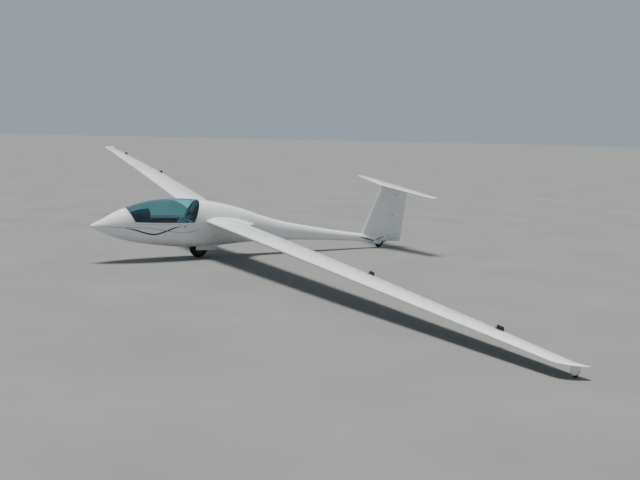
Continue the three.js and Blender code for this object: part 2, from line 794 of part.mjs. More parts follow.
function wheelBay() {
  return block([BAY.front, -BAY.half, -600], [BAY.rear, BAY.half, BAY.roof]);
}

function mainFork() {
  const { x, z, axle } = MAIN_WHEEL;
  const tube = ({ aft, above, radius }) => {
    const half = BAY.half - SEAM;
    return bar([x + aft, -half, z + above], [x + aft, half, z + above], radius);
  };
  const leg = (y, { aft, above, leg: radius }) => bar([x, y, z], [x + aft, y, z + above], radius);
  let fork = tube(TRUNNION).add(tube(BRACE));
  for (const side of Object.values(SIDES)) {
    const y = side * FORK.y;
    const boss = bar([x, y - FORK.bossHalf, z], [x, y + FORK.bossHalf, z], FORK.boss);
    fork = fork.add(leg(y, TRUNNION)).add(leg(y, BRACE)).add(boss);
  }
  const bore = (axle + SEAM) / PIN_FACET;
  return fork.subtract(bar([x, -BAY.half, z], [x, BAY.half, z], bore));
}

// A door hangs from the belly beside the bay, open and leaning out, with its top cut to the belly.
function gearDoor(side) {
  const { front, rear, hinge, low, wall, splay, rake, taper } = DOOR;
  const above = hinge + 100;
  const shape = outline([
    [front, above],
    [front + rake, low],
    [rear - taper, low + taper],
    [rear, above],
  ]);
  return sidePlate(shape, wall / 2)
    .translate([0, 0, -hinge])
    .rotate([-side * splay, 0, 0])
    .translate([0, side * (BAY.half + wall), hinge])
    .subtract(body(-SEAM));
}

function towHookBlock(grow) {
  const { x, low, high, reach, half } = TOW_HOOK;
  return block([x - reach - grow, -half - grow, low], [x + reach + grow, half + grow, high + grow]);
}

function towHook() {
  const { x, low, reach, half, throat, lip } = TOW_HOOK;
  const heart = [x + lip, low + lip + throat];
  const round = bar([heart[0], -2 * half, heart[1]], [heart[0], 2 * half, heart[1]], throat);
  const mouth = block([x - 2 * reach, -2 * half, low + lip], [heart[0], 2 * half, heart[1] + throat / 2]);
  return towHookBlock(0).subtract(round).subtract(mouth);
}

// Fuselage behind the cockpit, with the wing stubs, the wheel bay and the tail wheel's fairing

function wingStubs() {
  const stub = (side, { y, ahead, behind, thickness }) => {
    const section = wingSection(side, y);
    const [x, ...rest] = section.lead;
    const chord = section.chord + ahead + behind;
    return foilRing({ ...section, lead: [x - ahead, ...rest], chord, thickness });
  };
  const rows = table(STUB_COLUMNS, STUB);
  const port = rows.map((row) => stub("port", row));
  const starboard = rows.map((row) => stub("starboard", row)).reverse();
  return loft([...port, ...starboard]);
}

function tailSlot() {
  const { x, z, radius, width } = TAIL_WHEEL;
  const half = width / 2 + TAIL_SLOT.sides;
  const reach = radius + TAIL_SLOT.ends;
  return block([x - reach, -half, z - 2 * reach], [x + reach, half, z + reach]);
}

function rearFuselage() {
  const { x, z, axle } = TAIL_WHEEL;
  const bore = (axle + SEAM) / PIN_FACET;
  return body()
    .subtract(aheadOfRear(SHELL_JOINT + SEAM))
    .add(wingStubs())
    .add(pod(TAIL_WHEEL, TAIL_POD))
    .subtract(wheelBay())
    .subtract(towHookBlock(SEAM))
    .subtract(tailSlot())
    .subtract(rudderLine().space(ROOM))
    .subtract(bar([x, -ACROSS, z], [x, ACROSS, z], bore));
}

function finPieces() {
  const line = rudderLine();
  const overRudder = block(
    [RUDDER.highX - FIN_CAP.ahead, -ACROSS, RUDDER.high - FIN_CAP.below],
    [FAR, ACROSS, FAR],
  );
  const { ahead, below, above } = ELEVATOR_ROOM;
  const underElevator = block(
    [ELEVATOR.hinge - ahead, -ACROSS, TAIL_HEIGHT - below],
    [FAR, ACROSS, TAIL_HEIGHT + above],
  );
  const fixed = finFoil(FIN_FOOT, TAIL_HEIGHT)
    .subtract(line.space(ROOM))
    .subtract(overRudder)
    .subtract(body(-SEAM))
    .subtract(tailFoil(SEAM))
    .subtract(underElevator);
  return addHinges(line, fixed, finFoil(RUDDER.low, RUDDER.high).intersect(line.space(0)), RUDDER);
}

// Cockpit pieces

// The space inside the cockpit shell and its thick rails
function cockpitRoom() {
  const railSpace = sidePlate(canopyOutline(FRAME_WIDTH + ROOM + RAIL + SEAM), ACROSS);
  return body(WALL + SEAM, HOLLOW.feet, HOLLOW.rear).subtract(
    railSpace.subtract(body(WALL + RAIL_DEPTH + SEAM, HOLLOW.feet, HOLLOW.rear)),
  );
}

// A strip that follows a line in side view, between two distances above it
function strip(line, low, high, half) {
  const edge = (distance) =>
    line.map(([x, z], i) => {
      const [before, after] = [line[Math.max(i - 1, 0)], line[Math.min(i + 1, line.length - 1)]];
      const along = new THREE.Vector2(after[0] - before[0], after[1] - before[1]).normalize();
      return [x - along.y * distance, z + along.x * distance];
    });
  return sidePlate(outline([...edge(low), ...edge(high).reverse()]), half);
}

function seatPan() {
  return strip(SEAT_LINE, -SEAT.pan, 0, ACROSS).intersect(cockpitRoom());
}

function seatCushion() {
  return strip(SEAT_LINE.slice(SEAT.cushionFrom), SEAM, SEAT.cushion, SEAT.cushionHalf);
}

function rearLiner() {
  return aheadOfRear(SHELL_JOINT - SEAM)
    .subtract(aheadOfRear(SHELL_JOINT - LINER))
    .intersect(cockpitRoom());
}

// The x of a point at a height and a distance ahead of the rear liner's face
function aheadOfLiner(z, distance) {
  const margin = (SHELL_JOINT - LINER) * Math.hypot(1, GLASS_REAR.slope);
  return GLASS_REAR.x + GLASS_REAR.slope * z + margin - distance;
}

function headrest() {
  const { low, high, depth, half, chin, brow, back, crest } = HEADREST;
  const corners = [
    [SEAM, low],
    [depth - back, low],
    [depth, low + chin],
    [depth, high - brow],
    [depth - crest, high],
    [SEAM, high],
  ];
  const shape = outline(corners.map(([distance, z]) => [aheadOfLiner(z, distance), z]));
  return sidePlate(shape, half).intersect(cockpitRoom());
}

function archRing({ x, half, bottom, top }) {
  const ring = [];
  for (let i = 0; i < ARCH_STEPS; i++) {
    const angle = Math.PI * ((i + 0.5) / ARCH_STEPS);
    const z = bottom + (top - bottom) * Math.sin(angle) ** 0.7;
    ring.push([x, half * Math.cos(angle) * (1 + 0.12 * Math.sin(angle)), z]);
  }
  return ring;
}

function arch(rows) {
  return loft(table(ARCH_COLUMNS, rows).map(archRing));
}

function instrumentPedestal() {
  const { front, rear, half, high } = PEDESTAL;
  const post = block([front, -half, -ACROSS], [rear, half, high]);
  return post.intersect(cockpitRoom()).subtract(arch(HOOD_ROOM));
}

function controlStick() {
  const { x, foot, baseLength, baseHalf, shaft, grip, gripTop } = STICK;
  const { low, high } = STICK_GRIP;
  const base = block([x - baseLength, -baseHalf, -ACROSS], [x + baseLength, baseHalf, foot]);
  return base
    .intersect(cockpitRoom())
    .add(bar([x, 0, foot - 6], [x + low[0], 0, low[1] + 6], shaft))
    .add(bar([x + low[0], 0, low[1]], [x + high[0], 0, high[1]], grip, gripTop));
}

// The scene

const aircraft = new THREE.Group();

function piece(name, solid, finish, parent = aircraft) {
  const [color, roughness, metalness] = shade[finish];
  const material = new THREE.MeshStandardMaterial({ color, roughness, metalness });
  const mesh = new THREE.Mesh(toGeometry(solid), material);
  mesh.name = name;
  parent.attach(mesh);
  return mesh;
}

// A group for one moving body, at its hinge or slide and with its x axis along it
function pivot(name, point, axis) {
  const group = new THREE.Group();
  group.name = name;
  group.position.copy(point);
  group.quaternion.setFromUnitVectors(new THREE.Vector3(1, 0, 0), axis);
  aircraft.add(group);
  return group;
}

const spanwise = new THREE.Vector3(0, 1, 0);

function addFuselage() {
  const { x, z, axle, axleHalf } = TAIL_WHEEL;
  const [fin, rudder] = finPieces();
  const { tailplane, elevator } = tailPieces();
  const line = rudderLine();
  piece("cockpit_shell", cockpitShell(), "gelcoat");
  piece("rear_fuselage", rearFuselage(), "gelcoat");
  piece("fin", fin, "gelcoat");
  piece("tailplane", tailplane, "gelcoat");
  piece("rudder", rudder, "gelcoat", pivot("rudder_hinge", line.start, line.along));
  const hinge = new THREE.Vector3(ELEVATOR.hinge, 0, TAIL_HEIGHT);
  piece("elevator", elevator, "gelcoat", pivot("elevator_hinge", hinge, spanwise));
  piece("tow_hook", towHook(), "steel");
  piece("tail_axle", bar([x, -axleHalf, z], [x, axleHalf, z], axle), "steel");
  const spin = pivot("tail_wheel_spin", new THREE.Vector3(x, 0, z), spanwise);
  piece("tail_tyre", tyre(TAIL_WHEEL), "rubber", spin);
  piece("tail_rim", rim(TAIL_WHEEL), "alloy", spin);
}

function addCanopy() {
  const group = pivot("canopy_hinge", new THREE.Vector3(...CANOPY_PIVOT), spanwise);
  piece("canopy_frame", canopyFrame(), "gelcoat", group);
  piece("canopy_glass", canopyGlass(), "glass", group);
}

function addCockpit() {
  piece("seat_pan", seatPan(), "composite");
  piece("seat_cushion", seatCushion(), "fabric");
  piece("rear_liner", rearLiner(), "liner");
  piece("headrest", headrest(), "trim");
  piece("instrument_hood", arch(HOOD), "trim");
  piece("instrument_panel", arch(PANEL), "liner");
  piece("instrument_pedestal", instrumentPedestal(), "liner");
  piece("control_stick", controlStick(), "trim");
}

function addMainGear() {
  const { x, z, axle, axleHalf } = MAIN_WHEEL;
  piece("main_gear_fork", mainFork(), "steel");
  piece("main_axle", bar([x, -axleHalf, z], [x, axleHalf, z], axle), "steel");
  piece("gear_door_port", gearDoor(-1), "gelcoat");
  piece("gear_door_starboard", gearDoor(1), "gelcoat");
  const spin = pivot("main_wheel_spin", new THREE.Vector3(x, 0, z), spanwise);
  piece("main_tyre", tyre(MAIN_WHEEL), "rubber", spin);
  piece("main_rim", rim(MAIN_WHEEL), "alloy", spin);
}

function addWing(side) {
  const line = aileronLine(side);
  const [panel, aileron] = innerWing(side);
  const [wing, blade] = fitAirbrake(side, panel);
  piece(`wing_inner_${side}`, wing, "gelcoat");
  piece(`wing_tip_${side}`, wingPanel(side, PANEL_JOINT + SEAM, HALF_SPAN), "gelcoat");
  piece(`tip_fairing_${side}`, tipFairing(side), "gelcoat");
  const roll = pivot(`aileron_${side}_hinge`, line.start, line.along);
  piece(`aileron_${side}`, aileron, "gelcoat", roll);
  piece(`gust_lock_inner_${side}`, gustLock(side, AILERON.inner + LOCK.inset), "clamp", roll);
  piece(`gust_lock_outer_${side}`, gustLock(side, AILERON.outer - LOCK.inset), "clamp", roll);
  const { point, up } = brakeFrame(side);
  piece(`airbrake_${side}`, blade, "gelcoat", pivot(`airbrake_${side}_slide`, point, up));
  const { x, y, z } = tipWheelAt(side);
  const spin = pivot(`tip_wheel_${side}_spin`, new THREE.Vector3(x, y, z), spanwise);
  piece(`tip_wheel_${side}`, tipWheel(side), "rubber", spin);
}

addFuselage();
addCanopy();
addCockpit();
addMainGear();
Object.keys(SIDES).forEach(addWing);

// Parking: the roll and pitch at which the three wheels that touch the ground share one plane. The
// aircraft then turns half round, nose ahead.

function restAttitude() {
  const wheels = [
    { ...MAIN_WHEEL },
    { ...TAIL_WHEEL },
    { ...TIP_WHEEL, ...tipWheelAt("port") },
  ];
  const up = new THREE.Vector3(0, 0, 1);
  const ground = new THREE.Plane();
  for (let round = 0; round < 12; round++) {
    const feet = wheels.map(({ x, y, z, radius, crown }) => {
      const inPlane = up.clone().setY(0).normalize();
      const centre = new THREE.Vector3(x, y, z);
      return centre.addScaledVector(inPlane, crown - radius).addScaledVector(up, -crown);
    });
    ground.setFromCoplanarPoints(...feet);
    if (ground.normal.z < 0) ground.negate();
    up.copy(ground.normal);
  }
  return { roll: Math.asin(up.y), pitch: Math.atan2(-up.x, up.z) };
}

const { roll, pitch } = restAttitude();
const noseAhead = new THREE.Quaternion().setFromAxisAngle(new THREE.Vector3(0, 0, 1), Math.PI);
aircraft.rotation.set(roll, pitch, 0, "XYZ");
aircraft.quaternion.premultiply(noseAhead);
const glider = new THREE.Group();
glider.add(aircraft);
glider.updateMatrixWorld(true);
const bounds = new THREE.Box3().setFromObject(aircraft, true);
const centre = bounds.getCenter(new THREE.Vector3());
aircraft.position.set(-centre.x, -centre.y, -bounds.min.z);

export default glider;
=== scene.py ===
import json
import math
from types import SimpleNamespace as Values

import bmesh
import bpy
import numpy as np
from mathutils import Matrix, Vector
from mathutils.bvhtree import BVHTree


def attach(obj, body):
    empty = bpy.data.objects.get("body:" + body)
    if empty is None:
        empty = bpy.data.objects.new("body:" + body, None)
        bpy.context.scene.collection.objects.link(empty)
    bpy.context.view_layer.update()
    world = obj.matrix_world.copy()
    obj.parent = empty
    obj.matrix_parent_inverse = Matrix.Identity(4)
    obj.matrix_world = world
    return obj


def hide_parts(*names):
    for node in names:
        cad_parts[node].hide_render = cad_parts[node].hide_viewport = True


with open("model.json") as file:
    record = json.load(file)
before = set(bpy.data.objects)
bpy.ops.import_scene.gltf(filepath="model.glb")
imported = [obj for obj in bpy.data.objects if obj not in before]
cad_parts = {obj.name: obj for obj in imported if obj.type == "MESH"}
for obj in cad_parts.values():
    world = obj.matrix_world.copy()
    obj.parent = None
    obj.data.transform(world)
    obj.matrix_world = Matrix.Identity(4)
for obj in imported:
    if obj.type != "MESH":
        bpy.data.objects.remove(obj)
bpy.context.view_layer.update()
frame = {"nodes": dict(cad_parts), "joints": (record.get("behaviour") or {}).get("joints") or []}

MM = 0.001
SEAM = 0.3  # the gap between pieces that meet
ROOM = 5  # the clear space round a moving piece
FAR = 20000
ACROSS = 600  # more than half the fuselage's width
WELD = 1e-4  # points closer than this become one
SIDES = {"port": -1, "starboard": 1}
BODY_SIDES = 96
FOIL_POINTS = 26
PIN_SIDES = 24
CORNER_STEPS = 13
NO_ROD_WAY = (0.31, 0.52, 0.79)  # a direction that no rod here follows

# Fuselage
WALL = 10
BODY_STEP = 45
NOSE_ROUND = 25
NOSE_STEPS = [0.4, 1.2, 3, 6, 10, 15, 20]
BODY = [  # x, top, bottom, half width, middle, fullness
    [0, -4, -26, 11, -15, 2],
    [25, 14, -46, 30, -15, 2],
    [80, 46, -68, 60, -13, 2],
    [180, 104, -106, 108, -8, 2],
    [350, 215, -176, 178, 10, 2.05],
    [520, 305, -225, 226, 28, 2.1],
    [700, 386, -262, 265, 45, 2.15],
    [900, 456, -290, 292, 62, 2.2],
    [1150, 520, -313, 311, 75, 2.2],
    [1450, 566, -332, 320, 85, 2.2],
    [1750, 580, -339, 314, 85, 2.2],
    [2050, 573, -334, 296, 80, 2.2],
    [2350, 548, -308, 262, 70, 2.1],
    [2700, 495, -262, 215, 60, 2.05],
    [3050, 415, -220, 172, 50, 2],
    [3400, 322, -186, 142, 40, 2],
    [3800, 243, -155, 124, 30, 2],
    [4300, 178, -133, 110, 20, 2],
    [5000, 106, -122, 95, -8, 2],
    [5700, 52, -119, 76, -34, 2],
    [6100, 30, -117, 62, -44, 2],
    [6445, 12, -108, 44, -48, 2],
]
HOLLOW = Values(front=180, feet=350, rear=2350)

# Canopy
GLASS_LOWER = Values(height=107, slope=0.043)
GLASS_FRONT = Values(x=837, slope=-0.64)
GLASS_REAR = Values(x=1806, slope=0.302)
GLASS_CORNER = 26
FRAME_WIDTH = 26
FRAME_DEPTH = 24
GLASS_THICKNESS = 5
BAND_WIDTH = 11
BAND_DEPTH = 1.5
SHELL_JOINT = 56
RAIL = 42
RAIL_DEPTH = 22
LINER = 15
LINING = 3
# Dark panels on the cockpit's inner walls, which paint the shade that falls there
WALL_SHADE_LINING = Values(front=420, rear=1780, low=-260, high=400)
CANOPY_PIVOT = [572, 0, 314]
CANOPY_ARM = [[-7, -15, -8], [48, 15, 10]]
CANOPY_SLOT = [[-17, -20, -17], [60, 20, 60]]
CANOPY_PIN = Values(half=38, radius=4, bore=4.4, clear=31)

# Wing
WING_ROOT = 330
ROOT_RIB = 400
PANEL_JOINT = 7820
HALF_SPAN = 9000
WING = [  # y, leading edge, chord, thickness
    [WING_ROOT, 2114, 824, 0.155],
    [5532, 2300, 566, 0.14],
    [8740, 2488, 284, 0.125],
    [8860, 2540, 232, 0.12],
    [8950, 2640, 140, 0.11],
    [HALF_SPAN, 2745, 40, 0.1],
]
CURVED_FROM = 8740
LAST_RING = Values(ahead=3, count=22, thin=0.4)
BENDS = [WING_ROOT, 1800, 3300, 4700, 7760, HALF_SPAN]
WING_HEIGHT = 212
WING_RISE = 0.0561
WING_DROOP = {"port": 92, "starboard": 245}
TIP_RISE = Values(start=8600, height=19)
INCIDENCE = 0.02
CAMBER = 0.03
EDGE_THICKNESS = 2.4
STUB = [  # y, growth ahead, growth behind, thickness
    [60, 50, 240, 0.155],
    [200, 36, 180, 0.155],
    [300, 14, 60, 0.158],
    [ROOT_RIB, 0, 0, 0.155],
]
STUB_PLACES = [ROOT_RIB, 375, 350, 325, 300, 275, 250, 225, 200, 165, 130, 95, 60]
HINGE = Values(lug=6, grip=12, arm=14, eye=2, mouth=8)
AILERON = Values(inner=4740, outer=7720, hinge=0.8, pin=4, hinges=[0.08, 0.5, 0.92])
BRAKE = Values(y=2450, inward=500, length=1100, width=14, place=0.5, floor=34)
BRAKE_ROD = Values(radius=3, at=420, foot=-37, top=34, bore=40)
TAPE = Values(half=16, cut=30, outer=0.5, inner=0.05)

# Fin and tailplane
FIN_LEAD = Values(x=5759, slope=0.301)
FIN_TRAIL = Values(x=6799, slope=-0.0136)
FIN_THICKNESS = 0.11
FIN_FOOT = -20
FIN_CAP = Values(ahead=46, below=30)
RUDDER = Values(pin=4, hinges=[0.1, 0.5, 0.9], corner=46)
RUDDER_FOOT = Values(x=6434, z=-88)
RUDDER_HEAD = Values(x=6500, z=1048)
TAIL_HEIGHT = 1116
TAIL = [  # y, leading edge, chord, thickness
    [0, 6075, 530, 0.105],
    [1290, 6318, 272, 0.1],
    [1380, 6352, 226, 0.1],
    [1436, 6420, 130, 0.09],
]
TAIL_CURVED_FROM = 1290
TAIL_TIP_RINGS = 10
ELEVATOR = Values(half=1285, hinge=6470, pin=3, hinges=[0.06, 0.34, 0.66, 0.94])
ELEVATOR_ROOM = Values(ahead=40, below=38, above=60)

# Wheels
MAIN_WHEEL = Values(
    x=2115, y=0, z=-362, radius=178, crown=62, width=124, rim=76,
    axle=12, sides=96, grooves=[-26, 0, 26], bolts=6,
)
TAIL_WHEEL = Values(
    x=6255, y=0, z=-138, radius=100, crown=25, width=50, rim=48,
    axle=8, sides=72, grooves=[-9, 9], bolts=5,
)
TIP_WHEEL = Values(
    x=2715, y=8880, drop=105, radius=38, crown=11, width=22, axle=4, hub=0.55,
    boss=4, foot=6, dish=2.5, lip=3, sides=48, steps=15, bolt_end=2,
)
TYRE_STEPS = 33
GROOVE = Values(half=2.5, slope=0.4, depth=4)
BEAD = Values(high=5, out=1)
RIM = Values(hub=0.12, barrel=0.88, wide=0.4, web=0.3, lip=1.5, bolt=0.05, bolt_head=1.3)
RIM_FOOT = [(2, 3), (6, 0)]  # off the hub, above the web
RIM_HEEL = [(5, 0), (0, 4)]  # off the barrel, above the web
TIP_POD = [  # above the axle, ahead of it, behind it, half width
    [-6, 58, 52, 24],
    [14, 70, 57, 27],
    [TIP_WHEEL.drop - 4, 78, 44, 27],
]
TAIL_POD = [
    [-22, 128, 112, 40],
    [-2, 150, 140, 43],
    [88, 190, 172, 44],
]
POD_STEPS = 14
TAIL_SLOT = Values(ends=10, sides=6)
TOW_HOOK = Values(x=1878, low=-348, high=-312, reach=27, half=14)
BAY = Values(front=1925, rear=2465, half=108, roof=-92)

# Cockpit
SEAT_LINE = [
    [1230, -118],
    [1320, -200],
    [1400, -224],
    [1480, -206],
    [1600, -92],
    [1720, 62],
    [1806, 205],
]
SEAT_SAMPLES = 180
CUSHION = Values(
    thick=34, half=202, along=72, across=56, start=0.012, end=0.988, crown=0.12,
    side_power=8, end_power=16, voxel=7, swell=9,
)
CUSHION_SEAMS = Values(across=[-0.42, 0.42], along=[0.27, 0.45, 0.62, 0.8], depth=12, width=7)
CLOTH = Values(pressure=4, frames=20)
HEADREST = Values(
    low=296, high=516, depth=76, half=108, sides=64, rings=18, square=0.5,
    front_power=5, edge_power=0.35, least=0.05, voxel=5, swell=6,
)
HEADREST_SEAM = Values(at=0.55, pull=0.05, width=4)
HOOD = [  # x, half width, bottom, top
    [700, 86, 150, 268],
    [850, 138, 130, 326],
    [1040, 166, 112, 360],
]
HOOD_STEPS = 26
HOOD_LIP = Values(high=4, long=14)
PANEL = Values(front=1040.3, back=1048, half=160, bottom=118, top=352, edge=1.5)
ARCH = Values(steps=48, bulge=0.12, power=0.7)
DIALS = [  # y, z, radius
    [-74, 292, 34],
    [4, 300, 34],
    [80, 290, 30],
    [-102, 212, 27],
    [-34, 212, 34],
    [42, 212, 34],
    [106, 212, 23],
]
DIAL_RIM = [(-4, 0.2), (0, 0.2), (0, 3.2), (-1.2, 4.4), (-4, 3)]  # out from the radius, off the panel
DIAL_FACE = Values(back=0.2, front=1.2, inset=4.2, sides=48)
DIAL_STROKES = Values(count=10, first=126, step=28.8)
DIAL_STROKE = Values(low=0, high=0.4, half=0.5, near=0.66, far=0.8)
DIAL_HAND = Values(low=0.5, high=0.9, half=0.8, near=-0.15, far=0.6)
STICK = Values(
    x=1060, foot=-268, base_length=35, base_half=30, radius=9, lean=16, sunk=6,
    top=-60,
)
BOOT = Values(
    lean=6, gap=0.5, height=84, radius=27, taper=15, fold=2, folds=5, rings=41, sides=40,
)
GRIP = Values(
    lean=18, foot=-66, height=112, radius=14.5, growth=2, wave=1.1, waves=4,
    end_power=14, end_size=0.35, rings=29, sides=32,
)
LEVER = Values(y=232, rod=5, length=120)
KNOB = Values(length=46, radius=12, end_power=4, least=0.04, rings=15, sides=32)
LEVERS = {"brake": (-1, 1120, 30), "gear": (1, 1180, 20)}  # side, x, z
PEDAL = Values(
    x=640, y=96, z=-60, low=[-5, -42, -60], high=[5, 42, 70],
    axes=[(0.9, 0, -0.43), (0, 1, 0), (0.43, 0, 0.9)],
)
PEDAL_ROD = Values(z=-118, half=50, radius=9)
STRAP = Values(half=22, thick=2.4, edge=1, gap=0.5, shoulder=62)
STRAP_SAMPLES = 90  # along the seat
STRAP_STEPS = Values(buckle=36, first=38, last=86)  # among the samples
LAP_STRAP = Values(near=0.1, far=0.985, steps=30)
STRAP_TOP = Values(heights=(262, 284), off=9, way=(-0.96, 0, 0.29))
BUCKLE = [(0, 25), (3, 27), (10, 27), (13, 24), (14, 16), (13.2, 4)]  # height, radius
BUCKLE_REST = Values(spread=20, sunk=1, sides=48)

# Coloured lines along the fuselage side, as points of x and z, each with its half width
WAVE = [
    [575, 19, 3],
    [737, 4, 10],
    [927, -43, 13],
    [1117, -64, 14],
    [1300, -1, 13],
    [1483, 81, 10],
    [1596, 108, 3],
]
LONG_LINE = [
    [105, 17, 2],
    [461, 25, 4],
    [825, 45, 4],
    [1011, 49, 4],
    [1201, 32, 4],
    [1434, 4, 4],
    [1688, -6, 4],
    [1862, 34, 4],
]
LONG_LINE_REAR = [[1882, 41, 4], [1930, 60, 3], [1974, 81, 1]]
TAIL_MARKS = [
    [[5709, -16, 4], [5900, -54, 13], [6088, -90, 6]],
    [[6110, -62, 5], [6220, -26, 11], [6326, 16, 4]],
]
RUDDER_MARK = [[6450, -42, 2], [6570, -28, 5], [6692, -10, 2]]
DOT = Values(x=1674, z=107, radius=15)
MARK = Values(over=0.7, under=1.5, least=0.8, look=4, steps=12, across=6)

# The camera in the aircraft's frame, in metres and radians, fitted to the photograph
CAMERA = Values(
    focal=808.3, place=(-3.659, -14.240, 2.969), yaw=0.5346, pitch=-0.1849, roll=0.1422,
)
IMAGE_WIDTH = 640
SENSOR = 36

# The light and the floor, in metres, with the sun's travel in the aircraft's frame
SKY = Values(colour=(0.68, 0.80, 0.92, 1), strength=0.5)
SUN = Values(energy=5.6, angle=0.3, colour=(1.0, 0.97, 0.92), travel=(0.12, -0.16, -0.98))
FLOOR_REACH = 400


# From the aircraft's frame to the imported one, found from two axles whose places are known in both


def axle_place(wheel):
    return Vector((wheel.x, wheel.y, wheel.z))


def joint_place(name):
    joint = next(item for item in frame["joints"] if item["name"] == name)
    return Vector(joint["pos_m"]), Vector(joint["axis"])


def turn_from(along, across):
    along = along.normalized()
    return Matrix((along, across, along.cross(across))).transposed()


def aircraft_to_row():
    here_main, here_tail = axle_place(MAIN_WHEEL), axle_place(TAIL_WHEEL)
    main, spanwise = joint_place("main_wheel_spin")
    tail, _ = joint_place("tail_wheel_spin")
    here = turn_from(here_tail - here_main, Vector((0, 1, 0)))
    there = turn_from(tail - main, spanwise)
    turn = (there @ here.transposed()).to_4x4()
    return Matrix.Translation(main) @ turn @ Matrix.Scale(MM, 4) @ Matrix.Translation(-here_main)


TO_ROW = aircraft_to_row()


# Solids


def placed(name, data):
    thing = bpy.data.objects.new(name, data)
    bpy.context.scene.collection.objects.link(thing)
    return thing


def make_object(points, faces):
    mesh = bpy.data.meshes.new("solid")
    mesh.from_pydata([tuple(map(float, point)) for point in points], [], faces)
    work = bmesh.new()
    work.from_mesh(mesh)
    bmesh.ops.remove_doubles(work, verts=work.verts, dist=WELD)
    bmesh.ops.recalc_face_normals(work, faces=work.faces)
    if work.calc_volume(signed=True) < 0:
        bmesh.ops.reverse_faces(work, faces=work.faces)
    work.to_mesh(mesh)
    work.free()
    return placed("solid", mesh)


def loft(rings, round_trip=False):
    """Joins rings of points into one skin. Its ends are flat, or with round_trip meet each other."""
    rings = np.asarray(rings, float)
    count, sides = rings.shape[:2]
    faces = []
    for ring in range(count if round_trip else count - 1):
        low, high = ring * sides, (ring + 1) % count * sides
        for i in range(sides):
            j = (i + 1) % sides
            faces.append((low + i, low + j, high + j, high + i))
    if not round_trip:
        faces.append(tuple(range(sides)))
        faces.append(tuple(range((count - 1) * sides, count * sides)))
    return make_object(rings.reshape(-1, 3), faces)


def ring_at(x, y, z):
    """A ring's points from three columns, any of which may be one number."""
    return np.column_stack(np.broadcast_arrays(x, y, z))


def apply_modifiers(piece):
    graph = bpy.context.evaluated_depsgraph_get()
    mesh = bpy.data.meshes.new_from_object(piece.evaluated_get(graph))
    piece.modifiers.clear()
    piece.data = mesh


def combined(piece, tools, operation):
    for tool in tools:
        modifier = piece.modifiers.new(operation, "BOOLEAN")
        modifier.operation = operation
        modifier.object = tool
        modifier.solver = "MANIFOLD"
    apply_modifiers(piece)
    for tool in tools:
        bpy.data.objects.remove(tool)
    return piece


def minus(piece, *tools):
    return combined(piece, tools, "DIFFERENCE")


def plus(piece, *tools):
    return combined(piece, tools, "UNION")


def within(piece, *tools):
    return combined(piece, tools, "INTERSECT")


def copy_of(piece):
    return placed(piece.name, piece.data.copy())


def unit(vector):
    vector = np.asarray(vector, float)
    return vector / np.linalg.norm(vector)


def turned_block(origin, axes, low, high):
    corners = [(x, y, z) for x in (low[0], high[0]) for y in (low[1], high[1]) for z in (low[2], high[2])]
    points = np.asarray(origin, float) + np.array(corners, float) @ np.array(axes, float)
    faces = [(0, 1, 3, 2), (4, 5, 7, 6), (0, 1, 5, 4), (2, 3, 7, 6), (0, 2, 6, 4), (1, 3, 7, 5)]
    return make_object(points, faces)


def block(low, high):
    return turned_block((0, 0, 0), np.eye(3), low, high)


def round_steps(count):
    return np.arange(count) / count * 2 * math.pi


def tube(path, radii, sides=PIN_SIDES):
    """A round rod along a path, with a radius at each point of it."""
    path = np.asarray(path, float)
    ahead = np.gradient(path, axis=0)
    side = unit(np.cross(ahead[0], NO_ROD_WAY))
    rings = []
    for point, along, radius in zip(path, ahead, radii):
        across = unit(side - unit(along) * side.dot(unit(along)))
        third = np.cross(unit(along), across)
        ring = [math.cos(angle) * across + math.sin(angle) * third for angle in round_steps(sides)]
        rings.append(point + radius * np.array(ring))
    return loft(rings)


def bar(start, end, radius, end_radius=None, sides=PIN_SIDES):
    return tube([start, end], [radius, radius if end_radius is None else end_radius], sides)


def side_plate(shape, half):
    """A plate whose outline lies in the x-z plane."""
    return loft([[(x, y, z) for x, z in shape] for y in (-half, half)])


def smooth(rows, places):
    """The columns of a table at new places, on a curve through all its rows."""
    rows = np.asarray(rows, float)
    x, values = rows[:, 0], rows[:, 1:]
    steps = np.diff(x)[:, None]
    slopes = np.diff(values, axis=0) / steps
    inner = (slopes[:-1] * steps[1:] + slopes[1:] * steps[:-1]) / (steps[:-1] + steps[1:])
    tangents = np.vstack([slopes[:1], inner, slopes[-1:]])
    places = np.clip(np.atleast_1d(places), x[0], x[-1])
    i = np.clip(np.searchsorted(x, places, side="right") - 1, 0, len(x) - 2)
    step = steps[i]
    t = (places - x[i])[:, None] / step
    rest = 1 - t
    ends = values[i] * (1 + 2 * t) * rest**2 + values[i + 1] * (3 - 2 * t) * t**2
    return ends + step * t * rest * (tangents[i] * rest - tangents[i + 1] * t)


def along_curve(points, count):
    """Evenly spread points on a smooth curve through a few."""
    points = np.asarray(points, float)
    gaps = np.linalg.norm(np.diff(points[:, :2], axis=0), axis=1)
    length = np.concatenate([[0], np.cumsum(gaps)])
    return smooth(np.column_stack([length, points]), np.linspace(0, length[-1], count))


def normals_of(curve):
    """The unit normals of a curve in a plane, to the left of its way."""
    along = np.gradient(curve, axis=0)
    along /= np.linalg.norm(along, axis=1)[:, None]
    return np.column_stack([-along[:, 1], along[:, 0]])


# Fuselage


def body_sections(start, end):
    places = np.arange(BODY_STEP * math.ceil(start / BODY_STEP), end, BODY_STEP)
    nose = [] if start else NOSE_STEPS
    places = np.unique([start or NOSE_STEPS[0], end, NOSE_ROUND, *places, *nose])
    places = places[(places >= start) & (places > 0)]
    values = smooth(BODY, places)
    top, bottom, half, middle, fullness = smooth(BODY, NOSE_ROUND)[0]
    for i in np.flatnonzero(places < NOSE_ROUND):
        share = math.sqrt(places[i] / NOSE_ROUND)
        ends = [middle + (edge - middle) * share for edge in (top, bottom)]
        values[i] = [*ends, half * share, middle, fullness]
    return places, values


def signed_power(values, power):
    return np.sign(values) * np.abs(values) ** power


